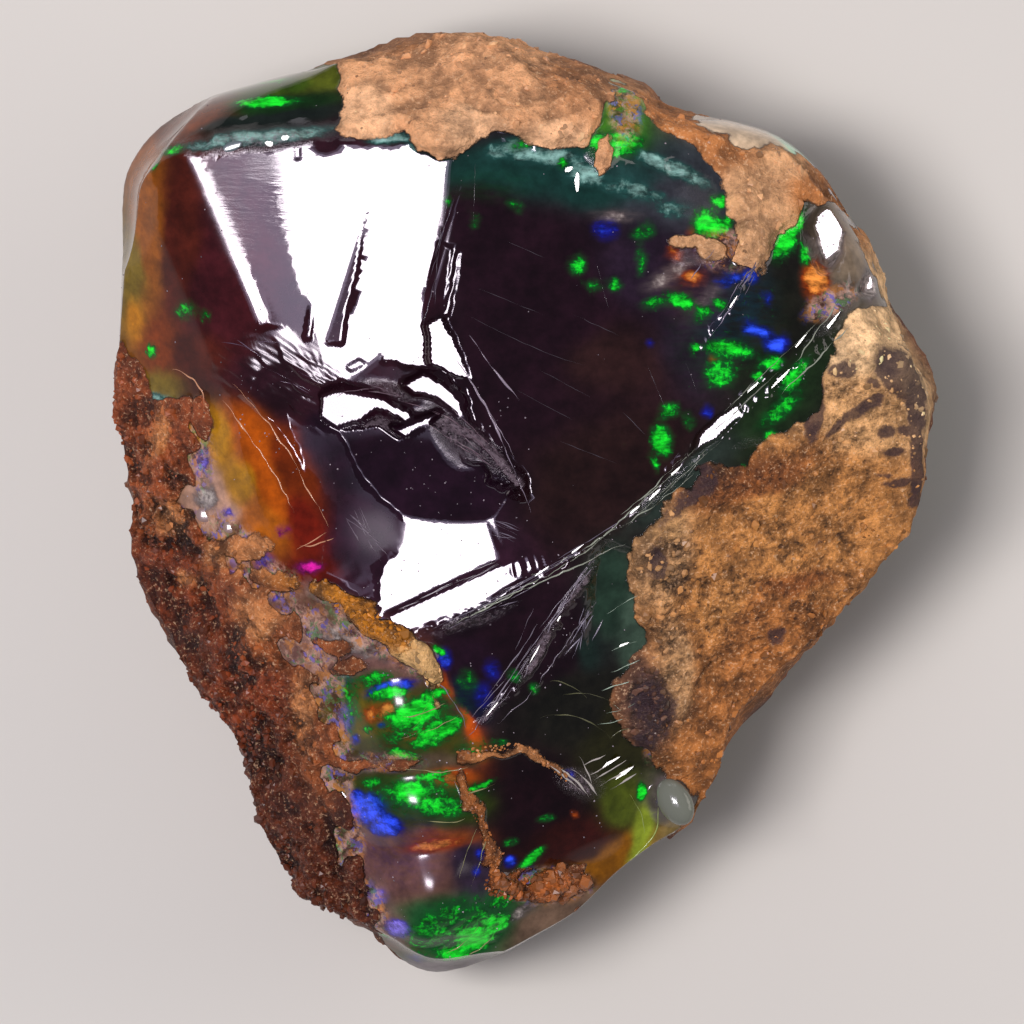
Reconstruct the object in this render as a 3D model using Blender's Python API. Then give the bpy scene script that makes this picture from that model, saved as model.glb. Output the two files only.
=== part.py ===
"""A rough fire opal: one nodule of dark precious opal with its host rock still grown on.

The stone lies on a flat fracture at z = 0 with its broken glassy face up. Plan positions are
(x, y) in millimetres from the middle of the stone, heights are above the surface it rests on.
"""

import bmesh
import bpy
import numpy as np
from mathutils import Vector, noise

MM = 0.001

# Driving dimensions, in millimetres.
RIM_HEIGHT = 9.6  # height of the widest outline above the resting face
RIM_LEAN = 1.4  # the rim is this much higher at the upper left and lower at the lower right
RIM_HIGH_SIDE = 130.0  # degrees from +X
CROWN = 14.0  # height of the dome above the rim, before the faces cut it
KEEL = 12.0  # depth of the hull below the rim, before the resting face cuts it
CROWN_BOXINESS = 4.2  # 2 is an ellipsoid, and more is a box with rounder sides
KEEL_BOXINESS = 2.3
LEAST_DOME = 0.07  # under every face a low dome stays above the rim, this share of the keel's depth
SHELF_ROUND = 0.6  # how round the line is where a face runs out onto that low dome

SPHERE_LEVEL = 7  # subdivisions of the sphere that the stone is shaped from
KEPT_SHARE = 0.113  # share of its triangles kept by the decimation

# The widest outline, seen from above, clockwise from the upper left corner.
OUTLINE = (
    (-19.5, 14.6), (-19.4, 16.0), (-18.7, 17.1), (-17.5, 18.2), (-15.5, 19.3), (-12.9, 20.1),
    (-10.5, 20.8), (-8.6, 21.6), (-6.2, 22.3), (-3.8, 22.5), (-1.3, 22.2), (0.6, 21.5),
    (3.0, 20.9), (5.4, 20.3), (6.3, 19.5), (7.8, 18.7), (10.2, 18.2), (12.1, 17.5),
    (13.8, 16.1), (15.2, 14.1), (16.4, 12.2), (17.4, 9.8), (18.4, 8.1), (19.4, 6.4),
    (19.6, 5.0), (19.1, 3.1), (18.8, 0.7), (18.1, -1.2), (16.9, -2.8), (14.8, -5.1),
    (13.1, -7.0), (11.4, -9.4), (9.7, -11.1), (9.0, -12.8), (8.3, -14.2), (7.5, -15.4),
    (5.9, -16.4), (4.2, -17.7), (2.3, -19.5), (0.3, -20.7), (-1.6, -21.7), (-4.0, -22.5),
    (-5.6, -22.2), (-6.9, -21.1), (-8.2, -19.9), (-10.2, -18.9), (-11.5, -17.5),
    (-12.4, -15.4), (-13.1, -13.0), (-14.1, -10.6), (-16.1, -8.0), (-17.8, -5.3),
    (-18.8, -2.9), (-18.8, -0.3), (-19.2, 2.6), (-19.6, 5.0), (-19.5, 7.9), (-19.4, 11.2),
)

# Fracture faces that cut the dome: a point on the plane, its height there, how much it rises
# for each millimetre along X and Y, its dish (1/mm) and how round its edges are (mm).
LIT_FACE = ((-8.0, 10.0), 22.1, (0.13, 0.0), 0.0, 0.1)
FACES = {
    "dark_face": ((2.0, 6.0), 22.06, (-0.07, 0.0), 0.003, 0.1),
    "below_ridge": ((0.0, -3.9), 22.4, (-0.017, 0.362), 0.004, 0.08),
    "right_of_ridge": ((8.6, 3.05), 21.75, (-0.294, 0.27), 0.0, 0.15),
    "right_wedge": ((5.4, -1.2), 21.64, (-0.486, 0.5), 0.0, 0.2),
    "left_flank": ((-13.0, -4.0), 18.4, (0.78, 0.45), 0.0, 1.0),
    "back_bevel": ((-12.0, 17.2), 21.7, (0.04, -0.95), 0.02, 0.12),
    "back_rock": ((-2.0, 16.8), 22.98, (0.0, -0.62), 0.0, 0.3),
    "upper_right_rock": ((13.5, 12.5), 19.4, (-0.42, -0.42), 0.0, 1.2),
}

# The lit face sinks into a shallow trough between two lines, and left of them rolls over the side.
TROUGH_Y = 15.0  # where the two lines are measured along Y
TROUGH_LEFT = (-15.1, 0.43)  # x of the line there, and how far it goes right for each mm down
TROUGH_RIGHT = (-11.3, 0.21)
TROUGH_LEAST_WIDTH = 1.2
TROUGH_SLOPE = 0.115
TROUGH_PROFILE = ((0.0, 0.0), (0.07, 1.0), (0.93, 0.75), (1.0, 0.0))  # share across, share of slope
TROUGH_STEPS = 81  # steps in which the slope is summed to a depth
ROLL_BEND = 0.26  # 1/mm
ROLL_SLOPE = 0.85  # it bends until it falls this steeply, and goes on straight
ROLL_START = 0.15  # how far left of the trough the roll begins

# Fracture faces kept to one part of the top: as above, then the slope of the wall around them
# and their drawn edge.
CUTS = {
    "lower_lit_face": ((-3.5, -2.8), 22.15, (0.128, 0.012), 0.0, 0.08, 0.5, (
        (-9.0, 1.5), (4.0, 1.5), (4.0, -9.0), (-9.0, -9.0),
    )),
    "ledge": ((-5.0, 6.2), 22.15, (0.02, 0.14), 0.0, 0.05, 1.5, (
        (-9.3, 7.5), (-8.2, 7.8), (-7.4, 7.5), (-7.0, 6.8), (-6.2, 6.5), (-5.2, 6.2),
        (-4.0, 6.1), (-3.3, 5.3), (-2.8, 4.0), (-2.2, 3.0), (-1.3, 2.1), (-0.5, 1.2),
        (-0.4, 0.6), (-2.0, 1.6), (-4.0, 2.8), (-6.2, 2.4), (-9.0, 3.2), (-9.7, 4.4),
        (-9.4, 6.0),
    )),
    "hackle_fan": ((-11.5, 6.2), 21.6, (0.22, 0.12), 0.0, 0.15, 0.8, (
        (-15.5, 7.5), (-13.8, 8.2), (-11.0, 8.2), (-8.9, 7.6), (-8.6, 6.9), (-8.8, 5.7),
        (-9.3, 4.0), (-9.5, 3.1), (-11.4, 3.8), (-13.6, 5.2), (-15.0, 6.4),
    )),
    "septum": ((-8.5, -0.5), 21.3, (0.3, -0.01), 0.0, 0.04, 0.5, (
        (-11.5, 4.2), (-9.0, 3.4), (-8.0, 1.2), (-6.9, -0.1), (-6.5, -0.9), (-6.9, -2.0),
        (-8.1, -3.4), (-8.5, -4.6), (-9.4, -5.2), (-9.8, -3.5), (-9.8, -1.0), (-10.4, 1.2),
    )),
    "sliver": ((-2.5, -4.0), 22.11, (0.128, 0.004), 0.0, 0.05, 0.7, (
        (-6.6, -5.3), (-1.6, -3.0), (1.6, -1.9), (3.4, -2.4), (0.0, -5.0), (-5.6, -7.4),
    )),
    "black_scoop": ((-3.0, -0.35), 22.31, (0.13, -0.21), 0.015, 0.03, 1.7, (
        (-11.8, 3.4), (-10.6, 3.7), (-9.3, 3.7), (-8.6, 3.5), (-7.1, 3.7), (-6.2, 3.1),
        (-5.6, 3.5), (-4.7, 3.8), (-4.0, 3.6), (-2.8, 3.1), (-1.8, 2.4), (-1.1, 1.4),
        (-0.5, 0.7), (-0.9, -0.6), (-3.0, -1.8), (-6.6, -1.8), (-7.6, -1.0), (-9.2, -0.4),
        (-10.2, 0.8), (-11.4, 2.0),
    )),
    "amber_chip": ((-12.4, 1.4), 20.1, (0.3, 0.12), 0.03, 0.04, 1.1, (
        (-15.5, 5.3), (-13.8, 5.0), (-12.4, 4.0), (-11.0, 2.6), (-10.0, 1.2), (-9.5, -0.8),
        (-9.9, -3.0), (-11.4, -3.3), (-13.4, -2.0), (-14.6, -0.3), (-15.3, 1.6), (-15.5, 3.6),
    )),
    "green_glass_scar": ((4.2, -5.4), 19.9, (-0.3, 0.3), 0.03, 0.1, 1.2, (
        (3.4, -1.9), (4.7, -2.4), (5.3, -4.6), (5.6, -6.5), (5.3, -7.7), (3.0, -8.6),
        (2.9, -6.5), (3.2, -4.6),
    )),
}

# Planes that rise from the resting face: bearing in degrees, where each starts, its slope.
BASE_FACES = (
    (0, 8.5, 0.55), (50, 9.5, 0.65), (105, 10.5, 0.5), (160, 9.0, 0.7),
    (210, 8.0, 0.6), (262, 10.5, 0.45), (312, 7.5, 0.5),
)
BASE_ROUND = 1.0

# Flake scars on the side: bearing in degrees, height, radius and depth.
SIDE_SCARS = (
    (108, 14.5, 4.5, 0.9), (140, 15.5, 5.5, 1.2), (165, 3.5, 6.0, 1.6), (196, 16.0, 4.0, 0.8),
    (228, 4.0, 6.0, 1.5), (258, 13.5, 4.0, 0.8), (285, 4.5, 5.5, 1.4), (318, 15.0, 4.0, 0.7),
    (345, 4.0, 6.0, 1.6), (20, 14.0, 4.5, 0.9), (52, 4.5, 6.5, 1.6), (75, 15.5, 4.0, 0.8),
    (112, 3.5, 6.0, 1.4),
)

# Host rock standing on the glass, by its drawn edges. Under the rim the stone is rock all over.
ROCK_THICKNESS = 0.42
ROCK_EDGE = 0.5  # how far in from its edge the rock reaches its thickness
STEEP = (0.6, 0.95)  # the rock thins out as the side gets from the first to the second of these
ROCK = {
    "back_rock": (
        (-9.1, 19.7), (-8.5, 18.8), (-9.3, 18.1), (-8.7, 17.3), (-6.2, 17.6), (-5.2, 16.4),
        (-3.3, 16.2), (-1.6, 17.6), (-0.4, 17.5), (0.8, 16.4), (2.6, 17.0), (3.7, 18.9),
        (4.0, 20.1), (3.5, 23.3), (-9.0, 23.3),
    ),
    "upper_right_rock": (
        (5.4, 23.3), (4.7, 19.9), (5.4, 18.5), (7.8, 16.8), (9.5, 15.1), (9.6, 12.2),
        (10.9, 10.5), (11.9, 12.5), (13.1, 14.4), (15.0, 14.0), (14.6, 15.6), (12.9, 16.6),
        (10.6, 17.0), (8.4, 17.6), (7.0, 19.8),
    ),
    "right_edge_rock": (
        (15.3, 13.2), (16.2, 11.6), (16.9, 9.4), (15.1, 8.9), (16.0, 7.4), (22.7, 6.0),
        (20.3, 11.7), (17.2, 14.0),
    ),
    "right_rock": (
        (15.1, 8.9), (14.5, 8.1), (14.1, 6.2), (13.7, 4.5), (11.2, 3.1), (10.4, 1.9),
        (8.3, 1.6), (6.3, 0.2), (5.4, -1.2), (4.8, -2.7), (5.0, -4.6), (5.5, -6.5),
        (4.4, -7.7), (3.9, -9.2), (4.3, -10.7), (5.3, -11.8), (5.8, -12.3), (7.8, -13.5),
        (8.5, -14.2), (11.2, -14.2), (22.7, -2.7), (22.7, 9.8), (17.6, 9.8),
    ),
    "left_rock": (
        (-22.5, 8.4), (-19.4, 7.6), (-18.2, 6.2), (-17.7, 4.8), (-16.0, 5.2), (-15.5, 4.0),
        (-15.9, 1.6), (-16.5, 0.2), (-15.2, -1.4), (-14.3, -2.7), (-12.5, -4.1), (-11.6, -5.6),
        (-10.9, -7.5), (-9.7, -8.9), (-9.5, -12.3), (-8.8, -14.2), (-8.6, -16.2),
        (-7.8, -17.6), (-8.1, -19.3), (-6.9, -21.2), (-7.1, -23.8), (-22.5, -23.8),
    ),
}

# Ropes of rock that follow cracks in the glass: height, half width, and the route.
VEINS = {
    "middle_vein": (0.2, 0.42, (
        (-9.8, -3.9), (-8.6, -4.7), (-7.2, -5.7), (-5.8, -6.5), (-5.0, -7.3), (-4.5, -8.2),
    )),
    "upper_cell_vein": (0.1, 0.19, (
        (-3.2, -11.8), (-1.8, -11.7), (-0.4, -11.5), (0.8, -12.2), (1.9, -13.0),
    )),
    "left_cell_vein": (0.1, 0.2, (
        (-3.0, -12.6), (-2.6, -14.3), (-2.0, -15.7), (-1.4, -16.7), (-1.7, -17.8),
    )),
    "lower_cell_vein": (0.16, 0.5, (
        (-1.5, -18.1), (-0.2, -18.4), (1.2, -18.0), (2.4, -18.0),
    )),
}

# Rounded swellings of the glass: middle, half sizes and height.
SWELL_POWER = 1.5  # 1 is a cap with a sharp foot, and more makes the foot softer
SWELLS = {
    "upper_lobe": ((-5.8, -10.2), (3.4, 2.1), 0.7),
    "middle_lobe": ((-5.2, -14.7), (3.6, 1.9), 0.7),
    "lower_lobe": ((-4.2, -19.0), (4.4, 2.6), 0.9),
    "dark_cell": ((2.0, -15.0), (3.6, 2.6), 0.7),
    "clear_bead": ((6.9, -14.2), (1.5, 1.3), 1.1),
    "vein_knob": ((-4.9, -7.4), (1.3, 0.9), 0.5),
}

# Relief of the rock, as (wavelength, height) of each layer of lumps.
ROCK_LUMPS = ((4.0, 0.35), (1.9, 0.2), (1.3, 0.15))
GLASS_WAVES = ((9.0, 0.06),)
REST_BAND = 1.2  # the relief fades out over this height above the resting face


def smooth_step(low, high, values):
    share = np.clip((values - low) / (high - low), 0.0, 1.0)
    return share * share * (3.0 - 2.0 * share)


def rounded_min(first, second, radius):
    """The lower of two surfaces, with the edge between them rounded."""
    share = np.clip(0.5 + 0.5 * (second - first) / radius, 0.0, 1.0)
    return second * (1.0 - share) + first * share - radius * share * (1.0 - share)


def closed_curve(points, steps=12):
    """A smooth closed curve through the points (Catmull-Rom)."""
    p = np.array(points, float)
    before, after, beyond = np.roll(p, 1, 0), np.roll(p, -1, 0), np.roll(p, -2, 0)
    rounds = []
    for t in np.linspace(0.0, 1.0, steps, endpoint=False):
        rounds.append(0.5 * (
            2 * p + (after - before) * t
            + (2 * before - 5 * p + 4 * after - beyond) * t ** 2
            + (3 * p - before - 3 * after + beyond) * t ** 3
        ))
    return np.stack(rounds, 1).reshape(-1, 2)


def reach(bearing):
    """How far the widest outline is from the middle, at each bearing in radians."""
    curve = closed_curve(OUTLINE)
    angles = np.arctan2(curve[:, 1], curve[:, 0])
    order = np.argsort(angles)
    radii = np.hypot(curve[:, 0], curve[:, 1])
    return np.interp(bearing, angles[order], radii[order], period=2 * np.pi)


def segment_distance(plan, start, end):
    """Distance from each plan point to one straight stretch."""
    along = end - start
    share = np.clip(((plan - start) @ along) / (along @ along), 0.0, 1.0)
    return np.linalg.norm(plan - start - share[:, None] * along, axis=1)


def route_distance(plan, route):
    ends = np.array(route, float)
    return np.min([segment_distance(plan, a, b) for a, b in zip(ends, ends[1:])], axis=0)


def depth_inside(plan, edge):
    """Distance from each plan point to a closed edge: above 0 inside it, below 0 outside."""
    corners = np.array(edge, float)
    following = np.roll(corners, -1, 0)
    inside = np.zeros(len(plan), bool)
    for (ax, ay), (bx, by) in zip(corners, following):
        if ay == by:
            continue
        crosses = (ay > plan[:, 1]) != (by > plan[:, 1])
        inside ^= crosses & (plan[:, 0] < (bx - ax) * (plan[:, 1] - ay) / (by - ay) + ax)
    away = np.min([segment_distance(plan, a, b) for a, b in zip(corners, following)], axis=0)
    return np.where(inside, away, -away)


def face_height(plan, at, height, rise, dish):
    away = plan - np.array(at)
    return height + away @ np.array(rise) + 0.5 * dish * (away ** 2).sum(1)


def lit_face_height(plan):
    """The lit face's plane, with the trough along its left side and the roll beyond it."""
    at, height, rise, dish, _ = LIT_FACE
    down = TROUGH_Y - plan[:, 1]
    left = TROUGH_LEFT[0] + TROUGH_LEFT[1] * down
    right = TROUGH_RIGHT[0] + TROUGH_RIGHT[1] * down
    width = np.maximum(right - left, TROUGH_LEAST_WIDTH)
    across, slope = np.array(TROUGH_PROFILE).T
    steps = np.linspace(0.0, 1.0, TROUGH_STEPS)
    sunk = np.cumsum(np.interp(steps, across, slope)) / len(steps)
    share = (plan[:, 0] - left) / width
    step = TROUGH_SLOPE * width * (sunk[-1] - np.interp(share, steps, sunk))
    beyond = np.clip(left - ROLL_START - plan[:, 0], 0.0, None)
    bent = np.minimum(beyond, ROLL_SLOPE / ROLL_BEND)
    roll = ROLL_BEND * bent * (beyond - 0.5 * bent)
    return face_height(plan, at, height, rise, dish) + step - roll


def top_height(plan, dome):
    """The dome cut by the fracture faces, with its swellings, then cut again by the small faces."""
    top = rounded_min(dome, lit_face_height(plan), LIT_FACE[-1])
    for at, height, rise, dish, rounding in FACES.values():
        top = rounded_min(top, face_height(plan, at, height, rise, dish), rounding)
    for middle, half_sizes, height in SWELLS.values():
        away = (plan - np.array(middle)) / np.array(half_sizes)
        top = top + height * np.clip(1.0 - (away ** 2).sum(1), 0.0, 1.0) ** SWELL_POWER
    for at, height, rise, dish, rounding, wall, edge in CUTS.values():
        outside = np.clip(-depth_inside(plan, edge), 0.0, None)
        cut = face_height(plan, at, height, rise, dish) + wall * outside
        top = rounded_min(top, cut, rounding)
    return np.minimum(top, dome)


def base_height(plan, hull):
    """The hull cut by the planes around the resting face, and by the resting face itself."""
    base = hull
    for bearing, start, slope in BASE_FACES:
        angle = np.radians(bearing)
        outward = plan @ np.array((np.cos(angle), np.sin(angle)))
        base = -rounded_min(-base, -slope * (outward - start), BASE_ROUND)
    return np.maximum(base, 0.0)


def stone_points(directions):
    """The stone's surface, in millimetres, in each direction from its middle."""
    bearing = np.arctan2(directions[:, 1], directions[:, 0])
    share = np.clip(np.hypot(directions[:, 0], directions[:, 1]), 0.0, 1.0)
    out = (share * reach(bearing))[:, None]
    plan = out * np.stack([np.cos(bearing), np.sin(bearing)], 1)
    rim = RIM_HEIGHT + RIM_LEAN * np.cos(bearing - np.radians(RIM_HIGH_SIDE)) * share
    dome = CROWN * (1.0 - share ** CROWN_BOXINESS) ** (1.0 / CROWN_BOXINESS)
    hull = KEEL * (1.0 - share ** KEEL_BOXINESS) ** (1.0 / KEEL_BOXINESS)
    shelf = rim + LEAST_DOME * hull
    top = -rounded_min(-top_height(plan, rim + dome), -shelf, SHELF_ROUND)
    base = np.minimum(base_height(plan, rim - hull), rim)
    points = np.column_stack([plan, np.where(directions[:, 2] > 0.0, top, base)])
    return cut_side_scars(points, bearing)


def cut_side_scars(points, bearing):
    """Draws the side in toward the middle where flakes have left it."""
    inward = np.zeros(len(points))
    for angle, height, radius, depth in SIDE_SCARS:
        turn = np.radians(angle)
        middle = reach(turn) * np.array((np.cos(turn), np.sin(turn)))
        away = np.linalg.norm(points - np.append(middle, height), axis=1) / radius
        inward = np.maximum(inward, depth * np.clip(1.0 - away ** 2, 0.0, 1.0))
    points[:, 0] -= inward * np.cos(bearing)
    points[:, 1] -= inward * np.sin(bearing)
    return points


def rock_share(points, is_top):
    """1 where the host rock has its whole thickness, 0 on bare glass."""
    share = np.zeros(len(points))
    for edge in ROCK.values():
        inside = depth_inside(points[:, :2], edge)
        share = np.maximum(share, smooth_step(0.0, ROCK_EDGE, inside))
    return np.where(is_top, share, 1.0)


def vein_height(points, is_top):
    plan = points[:, :2]
    height = np.zeros(len(points))
    for rise, half_width, route in VEINS.values():
        share = np.clip(1.0 - (route_distance(plan, route) / half_width) ** 2, 0.0, 1.0)
        height = np.maximum(height, rise * np.sqrt(share))
    return np.where(is_top, height, 0.0)


def lumps(points, layers):
    """Rounded noise, the sum of layers of (wavelength, height)."""
    total = np.zeros(len(points))
    for wavelength, height in layers:
        total += height * np.array([noise.noise(Vector(p) / wavelength) for p in points])
    return total


def relief(points, is_top, steepness):
    """How far each point stands out along its normal, in millimetres.

    The outline already has the rock on it, so the rock adds nothing where the side is steep.
    """
    rock = rock_share(points, is_top)
    flat = 1.0 - smooth_step(*STEEP, steepness)
    out = ROCK_THICKNESS * rock * flat + vein_height(points, is_top)
    out += rock * lumps(points, ROCK_LUMPS) + (1.0 - rock) * lumps(points, GLASS_WAVES)
    return out * smooth_step(0.0, REST_BAND, points[:, 2])


def shape_stone(mesh):
    """Moves the points of a unit sphere onto the stone, then adds its relief."""
    bm = bmesh.new()
    bmesh.ops.create_icosphere(bm, subdivisions=SPHERE_LEVEL, radius=1.0)
    directions = np.array([v.co.normalized() for v in bm.verts])
    is_top = directions[:, 2] > 0.0
    points = stone_points(directions)
    for vert, point in zip(bm.verts, points):
        vert.co = point
    bm.normal_update()
    normals = np.array([v.normal for v in bm.verts])
    steepness = np.hypot(normals[:, 0], normals[:, 1])
    points += normals * relief(points, is_top, steepness)[:, None]
    points[:, 2] = np.maximum(points[:, 2], 0.0)
    for vert, point in zip(bm.verts, points):
        vert.co = point * MM
    bm.normal_update()
    bm.to_mesh(mesh)
    bm.free()


def stone_material():
    material = bpy.data.materials.new("dark precious opal")
    material.use_nodes = True
    shader = material.node_tree.nodes["Principled BSDF"]
    shader.inputs["Base Color"].default_value = (0.030, 0.010, 0.014, 1.0)
    shader.inputs["Roughness"].default_value = 0.06
    shader.inputs["Metallic"].default_value = 0.0
    shader.inputs["IOR"].default_value = 1.45
    return material


def make_stone():
    mesh = bpy.data.meshes.new("opal_nodule")
    shape_stone(mesh)
    mesh.materials.append(stone_material())
    stone = bpy.data.objects.new("opal_nodule", mesh)
    bpy.context.scene.collection.objects.link(stone)
    decimate = stone.modifiers.new("fewer faces", "DECIMATE")
    decimate.ratio = KEPT_SHARE
    return stone


def main():
    for leftover in list(bpy.data.objects):
        bpy.data.objects.remove(leftover)
    make_stone()


main()
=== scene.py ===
import math
from functools import partial

import bmesh
import bpy
import numpy as np
from mathutils import Matrix, Vector, noise
from mathutils.bvhtree import BVHTree


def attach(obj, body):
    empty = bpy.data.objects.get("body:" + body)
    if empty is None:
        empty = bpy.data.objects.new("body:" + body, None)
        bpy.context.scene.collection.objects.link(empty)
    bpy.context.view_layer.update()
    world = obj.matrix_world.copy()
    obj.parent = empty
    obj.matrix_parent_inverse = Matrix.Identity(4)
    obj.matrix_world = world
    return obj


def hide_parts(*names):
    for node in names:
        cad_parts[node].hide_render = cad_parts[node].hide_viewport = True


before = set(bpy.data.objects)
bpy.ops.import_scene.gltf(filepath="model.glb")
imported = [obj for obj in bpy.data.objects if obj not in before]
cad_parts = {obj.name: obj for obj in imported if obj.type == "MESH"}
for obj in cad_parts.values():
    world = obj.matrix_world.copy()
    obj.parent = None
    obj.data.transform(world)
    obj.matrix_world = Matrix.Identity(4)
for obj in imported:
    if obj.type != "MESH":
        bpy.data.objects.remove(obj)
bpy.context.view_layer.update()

mm = 0.001  # all measures of the stone are in millimetres, x and y from its middle, z from the table
skyHigh = 40.0  # a height above everything
rng = np.random.default_rng(7)


def toLinear(hexColour):
    channels = [int(hexColour[i:i + 2], 16) / 255 for i in (1, 3, 5)]
    return [c / 12.92 if c <= 0.04045 else ((c + 0.055) / 1.055) ** 2.4 for c in channels]


def addNode(tree, kind, inputs=(), output=0, **settings):
    # the inputs go in order or by name: a socket is linked, and a hex colour is made linear
    node = tree.nodes.new("ShaderNode" + kind)
    for name, value in settings.items():
        setattr(node, name, value)
    for socket, value in (inputs.items() if isinstance(inputs, dict) else enumerate(inputs)):
        if isinstance(value, bpy.types.NodeSocket):
            tree.links.new(value, node.inputs[socket])
        else:
            value = (*toLinear(value), 1.0) if isinstance(value, str) else value
            node.inputs[socket].default_value = value
    return node.outputs[output]


def newMaterial(name):
    material = bpy.data.materials.new(name)
    material.use_nodes = True
    tree = material.node_tree
    return material, tree, tree.nodes["Principled BSDF"]


def tintedMaterial(name, roughness, ior):
    # takes its colour from the mesh's own tint
    material, tree, shader = newMaterial(name)
    tree.links.new(addNode(tree, "Attribute", attribute_name="tint"), shader.inputs["Base Color"])
    shader.inputs["Roughness"].default_value = roughness
    shader.inputs["IOR"].default_value = ior
    return material


def meshFrom(bm, name):
    mesh = bpy.data.meshes.new(name)
    bm.to_mesh(mesh)
    bm.free()
    return mesh


def newObject(name, mesh):
    piece = bpy.data.objects.new(name, mesh)
    bpy.context.scene.collection.objects.link(piece)
    return piece


def tintedBmesh():
    bm = bmesh.new()
    return bm, bm.verts.layers.float_color.new("tint")


def finishPiece(bm, name, material):
    # a piece that lies on the stone and belongs to it
    mesh = meshFrom(bm, name)
    mesh.materials.append(material)
    piece = newObject(name, mesh)
    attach(piece, "root")
    print("  " + name + ":", len(mesh.polygons), "faces")
    return piece


def smoothStep(low, high, values):
    share = np.clip((values - low) / (high - low), 0.0, 1.0)
    return share * share * (3.0 - 2.0 * share)


def roundedMin(first, second, radius):
    share = np.clip(0.5 + 0.5 * (second - first) / radius, 0.0, 1.0)
    return second * (1.0 - share) + first * share - radius * share * (1.0 - share)


def noiseAt(points, wavelength, shift=0.0):
    offset = Vector((shift, 1.7 * shift, -shift))
    return np.array([noise.noise(Vector(p) / wavelength + offset) for p in points])


def lumps(points, layers, shift=0.0):
    return sum(height * noiseAt(points, wavelength, shift) for wavelength, height in layers)


def closedCurve(points, steps=12):
    # Catmull-Rom through the points
    p = np.array(points, float)
    before, after, beyond = np.roll(p, 1, 0), np.roll(p, -1, 0), np.roll(p, -2, 0)
    rounds = []
    for t in np.linspace(0.0, 1.0, steps, endpoint=False):
        rounds.append(0.5 * (
            2 * p + (after - before) * t
            + (2 * before - 5 * p + 4 * after - beyond) * t ** 2
            + (3 * p - before - 3 * after + beyond) * t ** 3
        ))
    return np.stack(rounds, 1).reshape(-1, 2)


def distanceAlong(route):
    return np.append(0.0, np.cumsum(np.linalg.norm(np.diff(route, axis=0), axis=1)))


def segmentDistance(plan, start, end):
    along = end - start
    share = np.clip(((plan - start) @ along) / (along @ along), 0.0, 1.0)
    return np.linalg.norm(plan - start - share[:, None] * along, axis=1)


def routeDistance(plan, route):
    ends = np.array(route, float)
    return np.min([segmentDistance(plan, a, b) for a, b in zip(ends, ends[1:])], axis=0)


def depthInside(plan, edge):
    # above 0 inside the closed edge, below 0 outside it
    corners = np.array(edge, float)
    following = np.roll(corners, -1, 0)
    inside = np.zeros(len(plan), bool)
    for (ax, ay), (bx, by) in zip(corners, following):
        if ay == by:
            continue
        crosses = (ay > plan[:, 1]) != (by > plan[:, 1])
        inside ^= crosses & (plan[:, 0] < (bx - ax) * (plan[:, 1] - ay) / (by - ay) + ax)
    away = np.min([segmentDistance(plan, a, b) for a, b in zip(corners, following)], axis=0)
    return np.where(inside, away, -away)


def spotDistance(plan, x, y, halfLength, halfWidth, degrees=0):
    # 0 in the middle of a turned ellipse, 1 on its edge
    turn = math.radians(degrees)
    dx, dy = plan[:, 0] - x, plan[:, 1] - y
    along = (dx * math.cos(turn) + dy * math.sin(turn)) / halfLength
    across = (dy * math.cos(turn) - dx * math.sin(turn)) / halfWidth
    return np.hypot(along, across)


cameraSetup = {
    "aim": (-0.77, -0.38),  # the point right under it
    "aimHeight": 10,  # the stone's widest outline
    "distance": 700,
    "frameWidth": 49.2,
    "sensor": 36,
    "clipStart": 0.01,  # m
}


def makeCamera():
    data = bpy.data.cameras.new("camera")
    data.sensor_width = cameraSetup["sensor"]
    data.lens = cameraSetup["sensor"] * cameraSetup["distance"] / cameraSetup["frameWidth"]
    data.clip_start = cameraSetup["clipStart"]
    camera = newObject("camera", data)
    height = cameraSetup["aimHeight"] + cameraSetup["distance"]
    camera.location = Vector((*cameraSetup["aim"], height)) * mm
    bpy.context.scene.camera = camera


lightSetup = {
    # name: bearing and height in degrees, distance, width and length (mm), brightness, colour
    "window panel": (180, 75.2, 550, 100, 150, 44, "#fffaf6"),
    "panel's inner glow": (180, 75.2, 556, 190, 210, 4, "#f3e9ff"),
    "panel's outer glow": (180, 75.2, 562, 290, 270, 1.3, "#e9e0ff"),
    "right soft box": (16, 24, 520, 380, 200, 2.8, "#fff6ea"),
    "back soft box": (95, 26, 520, 380, 200, 1.6, "#ffffff"),
}
worldSetup = {"colour": "#c9d2e0", "strength": 0.2}
litPoint = (0, 0, 18)  # what the lights face, in mm
floorSetup = {"size": 1600, "colour": "#d3d0ca", "drop": 0.1, "roughness": 0.9, "shine": 0.2}


def makeLights():
    for name, (bearing, height, distance, width, length, brightness, colour) in lightSetup.items():
        data = bpy.data.lights.new(name, "AREA")
        data.shape = "RECTANGLE"
        data.size = width * mm
        data.size_y = length * mm
        data.energy = brightness * math.pi * width * length * mm * mm
        data.color = toLinear(colour)
        light = newObject(name, data)
        b, h = math.radians(bearing), math.radians(height)
        away = Vector((math.cos(b) * math.cos(h), math.sin(b) * math.cos(h), math.sin(h)))
        light.location = (Vector(litPoint) + away * distance) * mm
        light.rotation_euler = away.to_track_quat("Z", "Y").to_euler()
    world = bpy.data.worlds.new("studio")
    bpy.context.scene.world = world
    world.use_nodes = True
    background = world.node_tree.nodes["Background"]
    background.inputs["Color"].default_value = (*toLinear(worldSetup["colour"]), 1.0)
    background.inputs["Strength"].default_value = worldSetup["strength"]
    bpy.context.scene.view_settings.view_transform = "Standard"


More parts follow.
